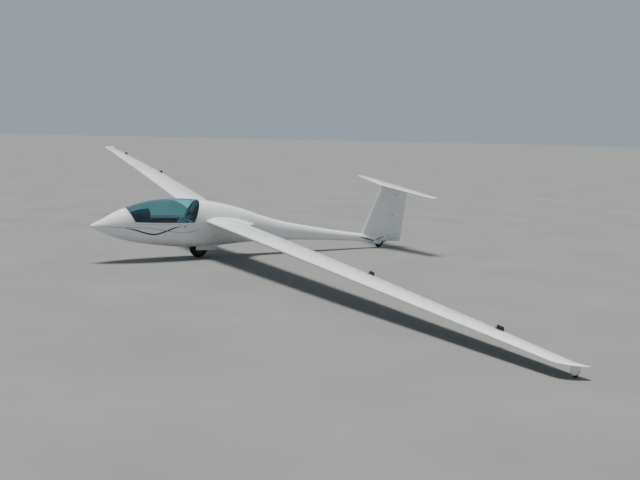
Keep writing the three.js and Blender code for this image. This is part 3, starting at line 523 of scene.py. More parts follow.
def body(inset=0, start=0, end=BODY[-1][0]):
    angle = (np.arange(BODY_SIDES) + 0.5) / BODY_SIDES * 2 * math.pi - math.pi / 2
    across, up = np.cos(angle), np.sin(angle)
    rings = []
    for x, (top, bottom, half, middle, fullness) in zip(*body_sections(start, end)):
        reach = np.where(up > 0, top - inset - middle, middle - bottom - inset)
        y = (half - inset) * signed_power(across, 2 / fullness)
        rings.append(ring_at(x, y, middle + reach * signed_power(up, 2 / fullness)))
    return loft(rings)


def body_side(x, z):
    """How far the fuselage's side is from its middle plane at given places."""
    top, bottom, half, middle, fullness = smooth(BODY, np.asarray(x, float)).T
    up = np.where(z > middle, (z - middle) / (top - middle), (middle - z) / (middle - bottom))
    sine = np.clip(up, 0, 1) ** (fullness / 2)
    return half * (1 - sine**2) ** (1 / fullness)


def fin_side(x, z):
    lead, chord = fin_section(z)
    u = np.clip((x - lead) / chord, 0, 1)
    return half_thickness(u, FIN_THICKNESS) * chord + u * EDGE_THICKNESS / 2


def outer_side(x, z):
    return np.maximum(body_side(x, z), np.where(z > FIN_FOOT, fin_side(x, z), 0))


def rounded_corner(before, corner, after, cut):
    before, corner, after = (np.asarray(point, float) for point in (before, corner, after))
    start = corner + unit(before - corner) * cut
    end = corner + unit(after - corner) * cut
    steps = np.linspace(0, 1, CORNER_STEPS)
    return [(1 - t) ** 2 * start + 2 * t * (1 - t) * corner + t**2 * end for t in steps]


def moved_aft(edge, distance):
    """Where a leaning edge of the canopy crosses z = 0 once it is moved aft by a distance."""
    return edge.x + distance * math.hypot(1, edge.slope)


def canopy_outline(grow):
    lower = GLASS_LOWER.height - grow * math.hypot(1, GLASS_LOWER.slope)
    front, rear = moved_aft(GLASS_FRONT, -grow), moved_aft(GLASS_REAR, grow)

    def corner(x, slope):
        z = (lower + GLASS_LOWER.slope * x) / (1 - GLASS_LOWER.slope * slope)
        return x + slope * z, z

    above = 800
    front_high = (front + GLASS_FRONT.slope * above, above)
    rear_high = (rear + GLASS_REAR.slope * above, above)
    front_low, rear_low = corner(front, GLASS_FRONT.slope), corner(rear, GLASS_REAR.slope)
    cut = max(GLASS_CORNER + grow, 4)
    return [
        front_high,
        *rounded_corner(front_high, front_low, rear_low, cut),
        *rounded_corner(front_low, rear_low, rear_high, cut),
        rear_high,
    ]


def canopy_plate(grow):
    return side_plate(canopy_outline(grow), ACROSS)


def ahead_of_rear(grow):
    x, reach = moved_aft(GLASS_REAR, grow), 1200
    lean = GLASS_REAR.slope * reach
    return side_plate([(-reach, -reach), (x - lean, -reach), (x + lean, reach), (-reach, reach)], reach)


def beside_pivot(corners):
    low, high = np.array(corners) + CANOPY_PIVOT
    return block(low, high)


def canopy_pin(half, radius):
    x, _, z = CANOPY_PIVOT
    return bar((x, -half, z), (x, half, z), radius)


def hollow_front(depth, start=HOLLOW.front):
    """The fuselage ahead of the wing's rear edge, as a shell of a given thickness."""
    return minus(body(0, 0, HOLLOW.rear), body(depth, start, HOLLOW.rear))


def lining(depth, front, rear):
    """A thin layer that lies on a face at a given depth in the fuselage."""
    return minus(body(depth + SEAM, front, rear), body(depth + LINING, front - 1, rear + 1))


def cockpit_shell():
    rail = within(
        hollow_front(WALL + RAIL_DEPTH, HOLLOW.feet), canopy_plate(FRAME_WIDTH + ROOM + RAIL)
    )
    shell = minus(
        plus(hollow_front(WALL), rail),
        canopy_plate(FRAME_WIDTH + ROOM),
        beside_pivot(CANOPY_SLOT),
        canopy_pin(CANOPY_PIN.half + 1, CANOPY_PIN.bore),
    )
    return within(shell, ahead_of_rear(SHELL_JOINT))


def canopy_frame():
    ring = within(hollow_front(FRAME_DEPTH), canopy_plate(FRAME_WIDTH))
    ring = minus(ring, canopy_plate(SEAM), canopy_pin(ACROSS, CANOPY_PIN.clear))
    return plus(ring, beside_pivot(CANOPY_ARM), canopy_pin(CANOPY_PIN.half, CANOPY_PIN.radius))


def canopy_glass():
    return within(hollow_front(GLASS_THICKNESS), canopy_plate(0))


def sill_lining():
    """Dark trim on the inner face of the rail round the cockpit's opening."""
    trim = within(
        lining(WALL + RAIL_DEPTH, HOLLOW.feet + BODY_STEP, HOLLOW.rear - BODY_STEP),
        canopy_plate(FRAME_WIDTH + ROOM + RAIL),
        ahead_of_rear(SHELL_JOINT - LINER - ROOM),
    )
    return minus(trim, canopy_plate(FRAME_WIDTH + ROOM), beside_pivot(CANOPY_SLOT))


def wall_shade_lining():
    """Dark panels on the cockpit's side walls, below the rail: painted shade that stands in for the shade
    on the inner walls.
    """
    front, rear = WALL_SHADE_LINING.front, WALL_SHADE_LINING.rear
    below_rail = canopy_plate(FRAME_WIDTH + ROOM + RAIL + SEAM)
    trim = minus(lining(WALL, front, rear), below_rail, beside_pivot(CANOPY_SLOT))
    return within(trim, block([front, -ACROSS, WALL_SHADE_LINING.low], [rear, ACROSS, WALL_SHADE_LINING.high]))


def canopy_band():
    """The dark strip stuck to the inside of the glass along its edge."""
    skin = minus(
        body(GLASS_THICKNESS + SEAM, HOLLOW.front, HOLLOW.rear),
        body(GLASS_THICKNESS + BAND_DEPTH, HOLLOW.front + BODY_STEP, HOLLOW.rear - BODY_STEP),
    )
    return minus(within(skin, canopy_plate(-1)), canopy_plate(-BAND_WIDTH))


# Foils


def half_thickness(u, thickness):
    """A usual foil's half thickness at shares of its chord, as a share of the chord."""
    bend = 0.3516 * u**2 - 0.2843 * u**3 + 0.1036 * u**4
    return 5 * thickness * (0.2969 * np.sqrt(u) - 0.126 * u - bend)


def foil_ring(lead, chord, thickness, camber=0, incidence=0, upright=False, grow=0):
    turn = math.pi * np.arange(FOIL_POINTS) / (FOIL_POINTS - 0.5)
    u = (1 + np.cos(turn)) / 2
    skin = half_thickness(u, thickness) * chord + u * EDGE_THICKNESS / 2 + grow
    middle = 4 * camber * u * (1 - u) * chord
    off = np.concatenate([middle + skin, (middle - skin)[::-1]])
    u = np.concatenate([u, u[::-1]])
    x = lead[0] + u * chord
    if upright:
        return ring_at(x, lead[1] + off, lead[2])
    return ring_at(x, lead[1], lead[2] + off - u * chord * incidence)


def foil_row(rows, y, curved_from):
    """Leading edge, chord and thickness at y: straight between rows, and curved near the tip."""
    if y <= curved_from:
        table = np.array(rows)
        return [np.interp(y, table[:, 0], table[:, i]) for i in (1, 2, 3)]
    return smooth(rows, y)[0]


def wing_height(side, y):
    def height(place):
        out = (place - WING_ROOT) / (HALF_SPAN - WING_ROOT)
        return WING_HEIGHT + (place - WING_ROOT) * WING_RISE - WING_DROOP[side] * out**2

    following = max(1, next(i for i, place in enumerate(BENDS) if place >= y))
    low, high = BENDS[following - 1], BENDS[following]
    rise = TIP_RISE.height * (max(0, y - TIP_RISE.start) / (HALF_SPAN - TIP_RISE.start)) ** 2
    return height(low) + (height(high) - height(low)) * (y - low) / (high - low) + rise


def wing_section(side, y):
    lead, chord, thickness = foil_row(WING, y, CURVED_FROM)
    return {
        "lead": [lead, SIDES[side] * y, wing_height(side, y)],
        "chord": chord,
        "thickness": thickness,
        "camber": CAMBER,
        "incidence": INCIDENCE,
    }


def wing_panel(side, start, end, grow=0):
    places = {start, end, *(y for y in BENDS if start < y < end)}
    curved = np.linspace(CURVED_FROM, HALF_SPAN - LAST_RING.ahead, LAST_RING.count)
    places.update(y for y in curved if start < y < end)
    rings = [foil_ring(**wing_section(side, y), grow=grow) for y in sorted(places) if y < HALF_SPAN]
    if end == HALF_SPAN:
        last = wing_section(side, HALF_SPAN)
        last["thickness"] *= LAST_RING.thin
        rings.append(foil_ring(**last, grow=grow))
    return loft(rings)


def foil_middle(section, u):
    x, y, z = section["lead"]
    chord, camber = section["chord"], section.get("camber", 0)
    rise = (4 * camber * u * (1 - u) - u * section.get("incidence", 0)) * chord
    point = np.array([x + u * chord, y, z + rise])
    return point, half_thickness(u, section["thickness"]) * chord


class HingeLine:
    """A row of points on a hinge, each with the radius of the moving piece's round nose there."""

    def __init__(self, stops, up):
        self.points = np.array([point for point, _ in stops], float)
        self.radii = np.array([radius for _, radius in stops])
        self.start, self.end = self.points[0], self.points[-1]
        self.length = np.linalg.norm(self.end - self.start)
        self.along = unit(self.end - self.start)
        self.aft = unit(np.array([1, 0, 0]) - self.along * self.along[0])
        up = np.asarray(up, float)
        self.up = unit(up - self.along * up.dot(self.along) - self.aft * up.dot(self.aft))

    def box(self, origin, low, high):
        return turned_block(origin, [self.along, self.aft, self.up], low, high)

    def space(self, grow):
        aft, above = 700, 300
        space = self.box(self.start, [-grow, -grow, -above], [self.length + grow, aft, above])
        ends = self.points.copy()
        ends[0] -= self.along * grow
        ends[-1] += self.along * grow
        noses = [
            bar(ends[i], ends[i + 1], self.radii[i] + grow, self.radii[i + 1] + grow, 32)
            for i in range(len(ends) - 1)
        ]
        return plus(space, *noses)

    def point(self, share):
        return self.start + (self.end - self.start) * share

    def radius(self, share):
        gaps = np.linalg.norm(self.points - self.start, axis=1) / self.length
        return float(np.interp(share, gaps, self.radii))

    def pin_bar(self, share, half, radius):
        middle = self.point(share)
        return bar(middle - self.along * half, middle + self.along * half, radius)


def add_hinges(line, fixed, moving, pin, hinges):
    lug, grip, arm = HINGE.lug, HINGE.grip, HINGE.arm
    eye = pin + HINGE.eye
    for share in hinges:
        origin, nose = line.point(share), line.radius(share)
        back = nose + 2 * ROOM
        slot = line.box(origin, [-lug - ROOM, -back, -back], [lug + ROOM, eye + HINGE.mouth, back])
        hole = line.pin_bar(share, lug + ROOM + grip + 1, pin + SEAM)
        moving = minus(moving, slot, hole)
        bracket = line.box(origin, [-lug, -nose - ROOM - arm, -eye], [lug, eye, eye])
        fixed = plus(fixed, bracket, line.pin_bar(share, lug + ROOM + grip, pin))
    return fixed, moving


def aileron_line(side):
    places = (AILERON.inner, AILERON.outer)
    stops = [foil_middle(wing_section(side, y), AILERON.hinge) for y in places]
    return HingeLine(stops, (0, 0, 1))


def inner_wing(side):
    line = aileron_line(side)
    panel = wing_panel(side, ROOT_RIB + SEAM, PANEL_JOINT)
    moving = within(copy_of(panel), line.space(0))
    fixed = minus(panel, line.space(ROOM))
    return add_hinges(line, fixed, moving, AILERON.pin, AILERON.hinges)


def brake_axes(side):
    point, _ = foil_middle(wing_section(side, BRAKE.y), BRAKE.place)
    near, _ = foil_middle(wing_section(side, BRAKE.y - BRAKE.inward), BRAKE.place)
    along = unit(point - near)
    up = unit(np.cross((SIDES[side], 0, 0), along))
    aft = np.cross(along, up) * SIDES[side]
    return point, along, aft, up


def brake_box(side, low, high):
    point, along, aft, up = brake_axes(side)
    return turned_block(point, [aft, along, up], low, high)


def brake_rods(side, radius, low, high):
    point, along, _, up = brake_axes(side)
    feet = [point + along * place for place in (-BRAKE_ROD.at, BRAKE_ROD.at)]
    return [bar(foot + up * low, foot + up * high, radius) for foot in feet]


def fit_airbrake(side, wing):
    half_width, half_length = BRAKE.width / 2, BRAKE.length / 2
    above, floor = 200, BRAKE.floor
    space = brake_box(side, [-half_width, -half_length, ROOM - floor], [half_width, half_length, above])
    slot_low = [-half_width - ROOM, -half_length - ROOM, -floor]
    slot = brake_box(side, slot_low, [half_width + ROOM, half_length + ROOM, above])
    bores = brake_rods(side, BRAKE_ROD.radius + SEAM, BRAKE_ROD.foot, BRAKE_ROD.bore)
    blade = minus(within(copy_of(wing), space), *bores)
    rods = brake_rods(side, BRAKE_ROD.radius, BRAKE_ROD.foot, BRAKE_ROD.top)
    return plus(minus(wing, slot), *rods), blade


def panel_tape(side):
    """The thin tape round the joint between a wing's inner panel and its tip."""

    def piece(half, grow):
        return wing_panel(side, PANEL_JOINT - half, PANEL_JOINT + half, grow)

    return minus(piece(TAPE.half, TAPE.outer), piece(TAPE.cut, TAPE.inner))


# Fin, rudder, tailplane and elevator


def fin_section(z):
    lead = FIN_LEAD.x + FIN_LEAD.slope * z
    return lead, FIN_TRAIL.x + FIN_TRAIL.slope * z - lead


def fin_foil(low, high):
    rings = []
    for z in (low, high):
        lead, chord = fin_section(z)
        rings.append(foil_ring([lead, 0, z], chord, FIN_THICKNESS, upright=True))
    return loft(rings)


def rudder_line():
    stops = []
    for end in (RUDDER_FOOT, RUDDER_HEAD):
        lead, chord = fin_section(end.z)
        radius = half_thickness((end.x - lead) / chord, FIN_THICKNESS) * chord
        stops.append((np.array([end.x, 0, end.z]), radius))
    return HingeLine(stops, (0, 1, 0))


def tail_foil(grow=0):
    curved = np.linspace(TAIL_CURVED_FROM, TAIL[-1][0], TAIL_TIP_RINGS)
    rings = []
    for y in [*-curved[::-1], 0, *curved]:
        lead, chord, thickness = foil_row(TAIL, abs(y), TAIL_CURVED_FROM)
        rings.append(foil_ring([lead, y, TAIL_HEIGHT], chord, thickness, grow=grow))
    return loft(rings)


def elevator_line():
    stops = []
    for y in (-ELEVATOR.half, 0, ELEVATOR.half):
        lead, chord, thickness = foil_row(TAIL, abs(y), TAIL_CURVED_FROM)
        radius = half_thickness((ELEVATOR.hinge - lead) / chord, thickness) * chord
        stops.append((np.array([ELEVATOR.hinge, y, TAIL_HEIGHT]), radius))
    return HingeLine(stops, (0, 0, 1))


def tail_pieces():
    line = elevator_line()
    fixed = minus(tail_foil(), line.space(ROOM))
    moving = within(tail_foil(), line.space(0))
    return add_hinges(line, fixed, moving, ELEVATOR.pin, ELEVATOR.hinges)


def fin_pieces():
    line, high = rudder_line(), RUDDER_HEAD.z
    over_rudder = block(
        [RUDDER_HEAD.x - FIN_CAP.ahead, -ACROSS, high - FIN_CAP.below], [FAR, ACROSS, FAR]
    )
    under_elevator = block(
        [ELEVATOR.hinge - ELEVATOR_ROOM.ahead, -ACROSS, TAIL_HEIGHT - ELEVATOR_ROOM.below],
        [FAR, ACROSS, TAIL_HEIGHT + ELEVATOR_ROOM.above],
    )
    carried_by = (line.space(ROOM), over_rudder, body(-SEAM), tail_foil(SEAM), under_elevator)
    fixed = minus(fin_foil(FIN_FOOT, TAIL_HEIGHT), *carried_by)
    moving = within(fin_foil(RUDDER_FOOT.z, high), line.space(0), rudder_outline())
    return add_hinges(line, fixed, moving, RUDDER.pin, RUDDER.hinges)


def rudder_outline():
    """A plate that rounds the rudder's lower rear corner."""
    low, high = RUDDER_FOOT.z - 1, RUDDER_HEAD.z + 1
    front, rear = RUDDER_FOOT.x - 2 * ROOM - 200, FIN_TRAIL.x + 2 * ROOM
    lean = FIN_TRAIL.slope * (high - low)
    corner = (rear - 2 * ROOM, low)
    curve = rounded_corner((front, low), corner, (rear - 2 * ROOM + lean, high), RUDDER.corner)
    return side_plate([(front, low), *curve, (rear + lean, high), (front, high)], ACROSS)


def wing_stubs():
    growth = smooth(STUB, np.array(STUB_PLACES, float))
    growth[0] = STUB[-1][1:]
    halves = {}
    for side in SIDES:
        halves[side] = []
        for y, (ahead, behind, thickness) in zip(STUB_PLACES, growth):
            section = wing_section(side, y)
            section["lead"][0] -= ahead
            section["chord"] += ahead + behind
            section["thickness"] = thickness
            halves[side].append(foil_ring(**section))
    return loft([*halves["port"], *halves["starboard"][::-1]])


def pod(x, y, z, levels):
    rings = []
    for height in np.linspace(levels[0][0], levels[-1][0], POD_STEPS):
        ahead, behind, half = smooth(levels, height)[0]
        chord = ahead + behind
        rings.append(foil_ring([x - ahead, y, z + height], chord, 2 * half / chord, upright=True))
    return loft(rings)


def rear_fuselage():
    x, z, axle = TAIL_WHEEL.x, TAIL_WHEEL.z, TAIL_WHEEL.axle
    half = TAIL_WHEEL.width / 2 + TAIL_SLOT.sides
    reach = TAIL_WHEEL.radius + TAIL_SLOT.ends
    hook_x, hook_reach = TOW_HOOK.x, TOW_HOOK.reach + SEAM
    hook_half = TOW_HOOK.half + SEAM
    shell = minus(body(), ahead_of_rear(SHELL_JOINT + SEAM))
    shell = plus(shell, wing_stubs(), pod(x, 0, z, TAIL_POD))
    return minus(
        shell,
        block([BAY.front, -BAY.half, -ACROSS], [BAY.rear, BAY.half, BAY.roof]),
        block(
            [hook_x - hook_reach, -hook_half, TOW_HOOK.low - 1],
            [hook_x + hook_reach, hook_half, TOW_HOOK.high + SEAM],
        ),
        block([x - reach, -half, z - 2 * reach], [x + reach, half, z + reach]),
        rudder_line().space(ROOM),
        bar((x, -ACROSS, z), (x, ACROSS, z), axle + SEAM),
    )


# Wheels


def lathe(profile, sides):
    """A closed profile of radius and y, turned about the y axis."""
    reach, y = np.array(profile, float).T
    rings = [ring_at(reach * math.cos(a), y, reach * math.sin(a)) for a in round_steps(sides)]
    return loft(rings, round_trip=True)


def moved(thing, x, y, z):
    thing.data.transform(Matrix.Translation((x, y, z)))
    return thing


def crown_reach(wheel, y):
    """A tyre's radius at a place across its width."""
    bulge = math.sqrt(max(0, 1 - (2 * y / wheel.width) ** 2))
    return wheel.radius - wheel.crown + wheel.crown * bulge


def across_tyre(wheel, count):
    """Places across a tyre, closer together towards its sides."""
    return np.sin(np.linspace(-1, 1, count) * math.pi / 2) * wheel.width / 2


def tyre(wheel):
    across, edge = set(across_tyre(wheel, TYRE_STEPS)), GROOVE.half
    for middle in wheel.grooves:
        slope = edge + GROOVE.slope
        across.update((middle - slope, middle - edge, middle + edge, middle + slope))
    bead, foot = wheel.width * RIM.wide, wheel.rim
    profile = [(foot, -bead), (foot + BEAD.high, -bead - BEAD.out)]
    for y in sorted(across):
        sunk = any(abs(y - middle) <= edge for middle in wheel.grooves)
        profile.append((crown_reach(wheel, y) - GROOVE.depth * sunk, y))
    profile += [(foot + BEAD.high, bead + BEAD.out), (foot, bead)]
    return moved(lathe(profile, wheel.sides), *axle_place(wheel))


def rim(wheel):
    radius, lip = wheel.rim, RIM.lip
    bore = wheel.axle + SEAM
    hub, barrel = bore + RIM.hub * radius, RIM.barrel * radius
    wide = wheel.width * RIM.wide
    web = wide * RIM.web
    face = [
        (bore, wide - lip),
        (bore + lip, wide),
        (hub - lip, wide),
        (hub, wide - lip),
        *((hub + off, web + rise) for off, rise in RIM_FOOT),
        *((barrel - off, web + rise) for off, rise in RIM_HEEL),
        (barrel, wide - lip),
        (barrel + lip, wide),
        (radius - SEAM - lip, wide),
        (radius - SEAM, wide - lip),
    ]
    disc = lathe(face + [(reach, -y) for reach, y in reversed(face)], wheel.sides)
    circle, size = (hub + barrel) / 2, RIM.bolt * radius
    bolts = []
    for angle in round_steps(wheel.bolts):
        x, z = circle * math.cos(angle), circle * math.sin(angle)
        bolts.append(bar((x, -web - size, z), (x, web + size, z), size * RIM.bolt_head, sides=6))
    return moved(plus(disc, *bolts), *axle_place(wheel))


def tip_wheel_place(side):
    _, y, z = wing_section(side, TIP_WHEEL.y)["lead"]
    return TIP_WHEEL.x, y, z - TIP_WHEEL.drop


def tip_fairing(side):
    x, y, z = tip_wheel_place(side)
    reach = TIP_WHEEL.radius + ROOM
    slot_half = TIP_WHEEL.width / 2 + ROOM
    slot = block([x - reach, y - slot_half, z - 2 * reach], [x + reach, y + slot_half, z + reach])
    skin = wing_panel(side, PANEL_JOINT + SEAM, HALF_SPAN, SEAM)
    bolt_half = slot_half + TIP_WHEEL.bolt_end
    bolt = bar((x, y - bolt_half, z), (x, y + bolt_half, z), TIP_WHEEL.axle)
    return plus(minus(pod(x, y, z, TIP_POD), slot, skin), bolt)


def tip_wheel(side):
    half, bore, dish = TIP_WHEEL.width / 2, TIP_WHEEL.axle + SEAM, TIP_WHEEL.dish
    hub = TIP_WHEEL.hub * TIP_WHEEL.radius
    face = [
        (bore, half),
        (bore + TIP_WHEEL.boss, half),
        (bore + TIP_WHEEL.foot, half - dish),
        (hub, half - dish),
        (hub + TIP_WHEEL.lip, half),
    ]
    tread = [(crown_reach(TIP_WHEEL, y), y) for y in across_tyre(TIP_WHEEL, TIP_WHEEL.steps)]
    profile = [(reach, -y) for reach, y in face] + tread + face[::-1]
    return moved(lathe(profile, TIP_WHEEL.sides), *tip_wheel_place(side))


# Cockpit


def seat_curve(count):
    points = along_curve(SEAT_LINE, count)
    return points, normals_of(points)


def points_of(thing):
    flat = np.empty(3 * len(thing.data.vertices))
    thing.data.vertices.foreach_get("co", flat)
    return flat.reshape(-1, 3)


def set_points(thing, points):
    thing.data.vertices.foreach_set("co", points.ravel())
    thing.data.update()


def swollen(thing, voxel, swell):
    """Blows up a closed fabric form with Blender's cloth, no point moving farther than the swell."""
    scene = bpy.context.scene
    thing.data.transform(TO_ROW)
    remesh = thing.modifiers.new("remesh", "REMESH")
    remesh.mode = "VOXEL"
    remesh.voxel_size = voxel * MM
    apply_modifiers(thing)
    before = points_of(thing)
    cloth = thing.modifiers.new("cloth", "CLOTH")
    cloth.settings.use_pressure = True
    cloth.settings.uniform_pressure_force = CLOTH.pressure
    cloth.settings.effector_weights.gravity = 0
    cloth.point_cache.frame_end = CLOTH.frames
    for number in range(1, CLOTH.frames + 1):
        scene.frame_set(number)
    apply_modifiers(thing)
    scene.frame_set(1)
    move = points_of(thing) - before
    length = np.maximum(np.linalg.norm(move, axis=1), 1e-9)
    move *= np.minimum(1, swell * MM / length)[:, None]
    set_points(thing, before + move)
    thing.data.transform(TO_ROW.inverted())
    thing.modifiers.new("finer", "SUBSURF").levels = 1
    apply_modifiers(thing)
    return thing


def seat_place(points):
    """Where points lie: their share of the seat's length, height above it and the way up from it."""
    curve, normals = seat_curve(SEAT_SAMPLES)
    flat = points[:, [0, 2]]
    gaps = flat[:, None] - curve
    nearest = np.argmin((gaps**2).sum(2), axis=1)
    gap, up = flat - curve[nearest], normals[nearest]
    length = np.linalg.norm(np.diff(curve, axis=0), axis=1).sum()
    ahead = gap[:, 0] * up[:, 1] - gap[:, 1] * up[:, 0]
    share = nearest / (SEAT_SAMPLES - 1) + ahead / length
    return share, (gap * up).sum(1), up, length


def sew_cushion(cushion):
    """Rests the swollen cushion flat on the seat and pulls its top in along the seams."""
    points = points_of(cushion)
    share, height, up, length = seat_place(points)
    width, y = CUSHION_SEAMS.width, points[:, 1]
    long_seams = [y - line * CUSHION.half for line in CUSHION_SEAMS.across]
    short_seams = [(share - line) * length for line in CUSHION_SEAMS.along]
    pull = sum(np.exp(-((off / width) ** 2)) for off in long_seams)
    between = np.abs(y) < CUSHION_SEAMS.across[1] * CUSHION.half
    pull = pull + between * sum(np.exp(-((off / width) ** 2)) for off in short_seams)
    on_top = np.clip(height / CUSHION.thick, 0, 1)
    target = np.maximum(height - CUSHION_SEAMS.depth * np.minimum(pull, 1) * on_top, SEAM)
    points[:, [0, 2]] += up * (target - height)[:, None]
    set_points(cushion, points)
    return cushion


def seat_cushion():
    count, columns = CUSHION.along, CUSHION.across
    across = np.sin(np.linspace(-1, 1, columns) * math.pi / 2)
    y = np.concatenate([across, across[-2:0:-1]]) * CUSHION.half
    shares = np.linspace(CUSHION.start, CUSHION.end, count)
    rings = []
    for (x, z), (nx, nz), share in zip(*seat_curve(count), shares):
        at_end = (1 - (2 * share - 1) ** CUSHION.end_power) ** 0.5
        roll = (1 - across**CUSHION.side_power) ** 0.5 * at_end
        crown = 1 - CUSHION.crown * across**2
        top = np.maximum(CUSHION.thick * roll * crown, 2 * SEAM)
        lift = np.concatenate([top, np.full(columns - 2, SEAM)])
        rings.append(ring_at(x + nx * lift, y, z + nz * lift))
    return sew_cushion(swollen(loft(rings), CUSHION.voxel, CUSHION.swell))


def ahead_of_liner(z, distance):
    return moved_aft(GLASS_REAR, SHELL_JOINT - LINER) + GLASS_REAR.slope * z - distance


def headrest():
    low, high, depth, half = HEADREST.low, HEADREST.high, HEADREST.depth, HEADREST.half
    middle, reach = (low + high) / 2, (high - low) / 2
    angles = round_steps(HEADREST.sides)
    across, up = (signed_power(wave(angles), HEADREST.square) for wave in (np.cos, np.sin))
    rings = []
    for share in np.sin(np.linspace(0, 1, HEADREST.rings) * math.pi / 2):
        size = max((1 - share**HEADREST.front_power) ** HEADREST.edge_power, HEADREST.least)
        z = middle + reach * size * up
        x = ahead_of_liner(z, SEAM + (depth - SEAM) * share)
        rings.append(ring_at(x, half * size * across, z))
    return sew_headrest(swollen(loft(rings), HEADREST.voxel, HEADREST.swell))


def sew_headrest(rest):
    """Rests the headrest flat on the liner and pulls it in along the seam round its side."""
    points = points_of(rest)
    middle = (HEADREST.low + HEADREST.high) / 2
    off = ahead_of_liner(points[:, 2], 0) - points[:, 0]
    from_seam = off - HEADREST_SEAM.at * HEADREST.depth
    pull = 1 - HEADREST_SEAM.pull * np.exp(-((from_seam / HEADREST_SEAM.width) ** 2))
    points[:, 0] -= np.maximum(SEAM - off, 0)
    points[:, 1] *= pull
    points[:, 2] = middle + (points[:, 2] - middle) * pull
    set_points(rest, points)
    return rest


def arch_ring(x, half, bottom, top):
    angle = math.pi * (np.arange(ARCH.steps) + 0.5) / ARCH.steps
    sine = np.sin(angle)
    y = half * np.cos(angle) * (1 + ARCH.bulge * sine)
    return ring_at(x, y, bottom + (top - bottom) * sine ** ARCH.power)


def instrument_hood():
    """The cover over the panel, with a raised lip at its rear edge."""
    places = np.linspace(HOOD[0][0], HOOD[-1][0], HOOD_STEPS)
    rings = []
    for x, (half, bottom, top) in zip(places, smooth(HOOD, places)):
        near_edge = math.exp(-(((x - HOOD[-1][0]) / HOOD_LIP.long) ** 2))
        shrink = HOOD_LIP.high * (1 - near_edge)
        rings.append(arch_ring(x, half - shrink, bottom, top - shrink))
    return loft(rings)


def instrument_panel():
    half, bottom, top = PANEL.half, PANEL.bottom, PANEL.top
    back, edge = PANEL.back, PANEL.edge
    rows = [(PANEL.front, 0), (back - edge, 0), (back, edge)]
    return loft([arch_ring(x, half - cut, bottom + cut, top - cut) for x, cut in rows])


def facing_aft(thing, y, z):
    """Turns a piece made about the y axis to face aft, on the instrument panel."""
    thing.data.transform(Matrix.Rotation(-math.pi / 2, 4, "Z"))
    return moved(thing, PANEL.back, y, z)


def dial_ring(y, z, radius):
    profile = [(radius + out, off) for out, off in DIAL_RIM]
    return facing_aft(lathe(profile, DIAL_FACE.sides), y, z)


def dial_face(y, z, radius):
    ends = (0, DIAL_FACE.back, 0), (0, DIAL_FACE.front, 0)
    return facing_aft(bar(*ends, radius - DIAL_FACE.inset, sides=DIAL_FACE.sides), y, z)


def dial_stroke(dial, degrees, stroke):
    """A flat stroke on a dial, drawn outwards at an angle from its top."""
    y, z, radius = dial
    sine, cosine = math.sin(math.radians(degrees)), math.cos(math.radians(degrees))
    axes = [(1, 0, 0), (0, cosine, -sine), (0, sine, cosine)]
    low = [stroke.low, -stroke.half, stroke.near * radius]
    high = [stroke.high, stroke.half, stroke.far * radius]
    return turned_block((PANEL.back + DIAL_FACE.front, y, z), axes, low, high)


def dial_marks(*dial):
    """Ten strokes round a dial and one hand, all plain. The hand's angle differs by size."""
    hand = dial_stroke(dial, 7 * dial[-1] - 40, DIAL_HAND)
    turns = [DIAL_STROKES.first + DIAL_STROKES.step * i for i in range(DIAL_STROKES.count)]
    return join([*(dial_stroke(dial, degrees, DIAL_STROKE) for degrees in turns), hand])


def join(things):
    work = bmesh.new()
    for thing in things:
        work.from_mesh(thing.data)
        bpy.data.objects.remove(thing)
    mesh = bpy.data.meshes.new("joined")
    work.to_mesh(mesh)
    work.free()
    return placed("joined", mesh)


def stick_base():
    x, length, half = STICK.x, STICK.base_length, STICK.base_half
    base = block([x - length, -half, -ACROSS], [x + length, half, STICK.foot])
    return within(base, body(WALL + SEAM, HOLLOW.feet, HOLLOW.rear))


def stick_boot():
    steps = np.linspace(0, 1, BOOT.rings)
    foot = STICK.foot + BOOT.gap
    path = [(STICK.x + BOOT.lean * t, 0, foot + BOOT.height * t) for t in steps]
    folds = BOOT.fold * np.cos(2 * math.pi * BOOT.folds * steps)
    return tube(path, BOOT.radius - BOOT.taper * steps + folds, BOOT.sides)


def stick_shaft():
    x = STICK.x
    foot, top = (x, 0, STICK.foot - STICK.sunk), (x + STICK.lean, 0, STICK.top)
    return bar(foot, top, STICK.radius)


def stick_grip():
    steps = np.linspace(0, 1, GRIP.rings)
    x = STICK.x + STICK.lean
    path = [(x + GRIP.lean * t, 0, GRIP.foot + GRIP.height * t) for t in steps]
    waves = GRIP.wave * np.cos(2 * math.pi * GRIP.waves * steps)
    ends = np.minimum(1, np.sqrt(1 - (2 * steps - 1) ** GRIP.end_power) + GRIP.end_size)
    return tube(path, (GRIP.radius + GRIP.growth * steps + waves) * ends, GRIP.sides)


def flat_strap(path, normals, across):
    """A flat strap along a path, with its width along one direction."""
    half, thick, edge = STRAP.half, STRAP.thick, STRAP.edge
    across = np.asarray(across, float)
    corners = [(-half, 0), (-half + edge, thick), (half - edge, thick), (half, 0)]
    rings = []
    for point, normal in zip(np.asarray(path, float), np.asarray(normals, float)):
        rings.append([point + across * side + normal * up for side, up in corners])
    return loft(rings)


def tree_of(thing):
    faces = [face.vertices[:] for face in thing.data.polygons]
    return BVHTree.FromPolygons(points_of(thing).tolist(), faces)


def height_over(tree, foot, way, spread):
    """The cushion's greatest height over a point of the seat and the points a spread to each side."""
    above = 90
    heights = [0]
    for shift in (-1, 0, 1):
        start = foot + way * above + spread * shift
        _, _, _, distance = tree.ray_cast(start.tolist(), (-way).tolist(), above)
        if distance is not None:
            heights.append(above - distance)
    return max(heights)


def seat_point(index, y):
    points, normals = seat_curve(STRAP_SAMPLES)
    (x, z), (nx, nz) = points[index], normals[index]
    return np.array([x, y, z]), np.array([nx, 0, nz])


def strap_path(tree, feet, spread):
    spread = np.asarray(spread, float) * (STRAP.half - 2)
    path = [foot + way * (height_over(tree, foot, way, spread) + STRAP.gap) for foot, way in feet]
    return path, [way for _, way in feet]


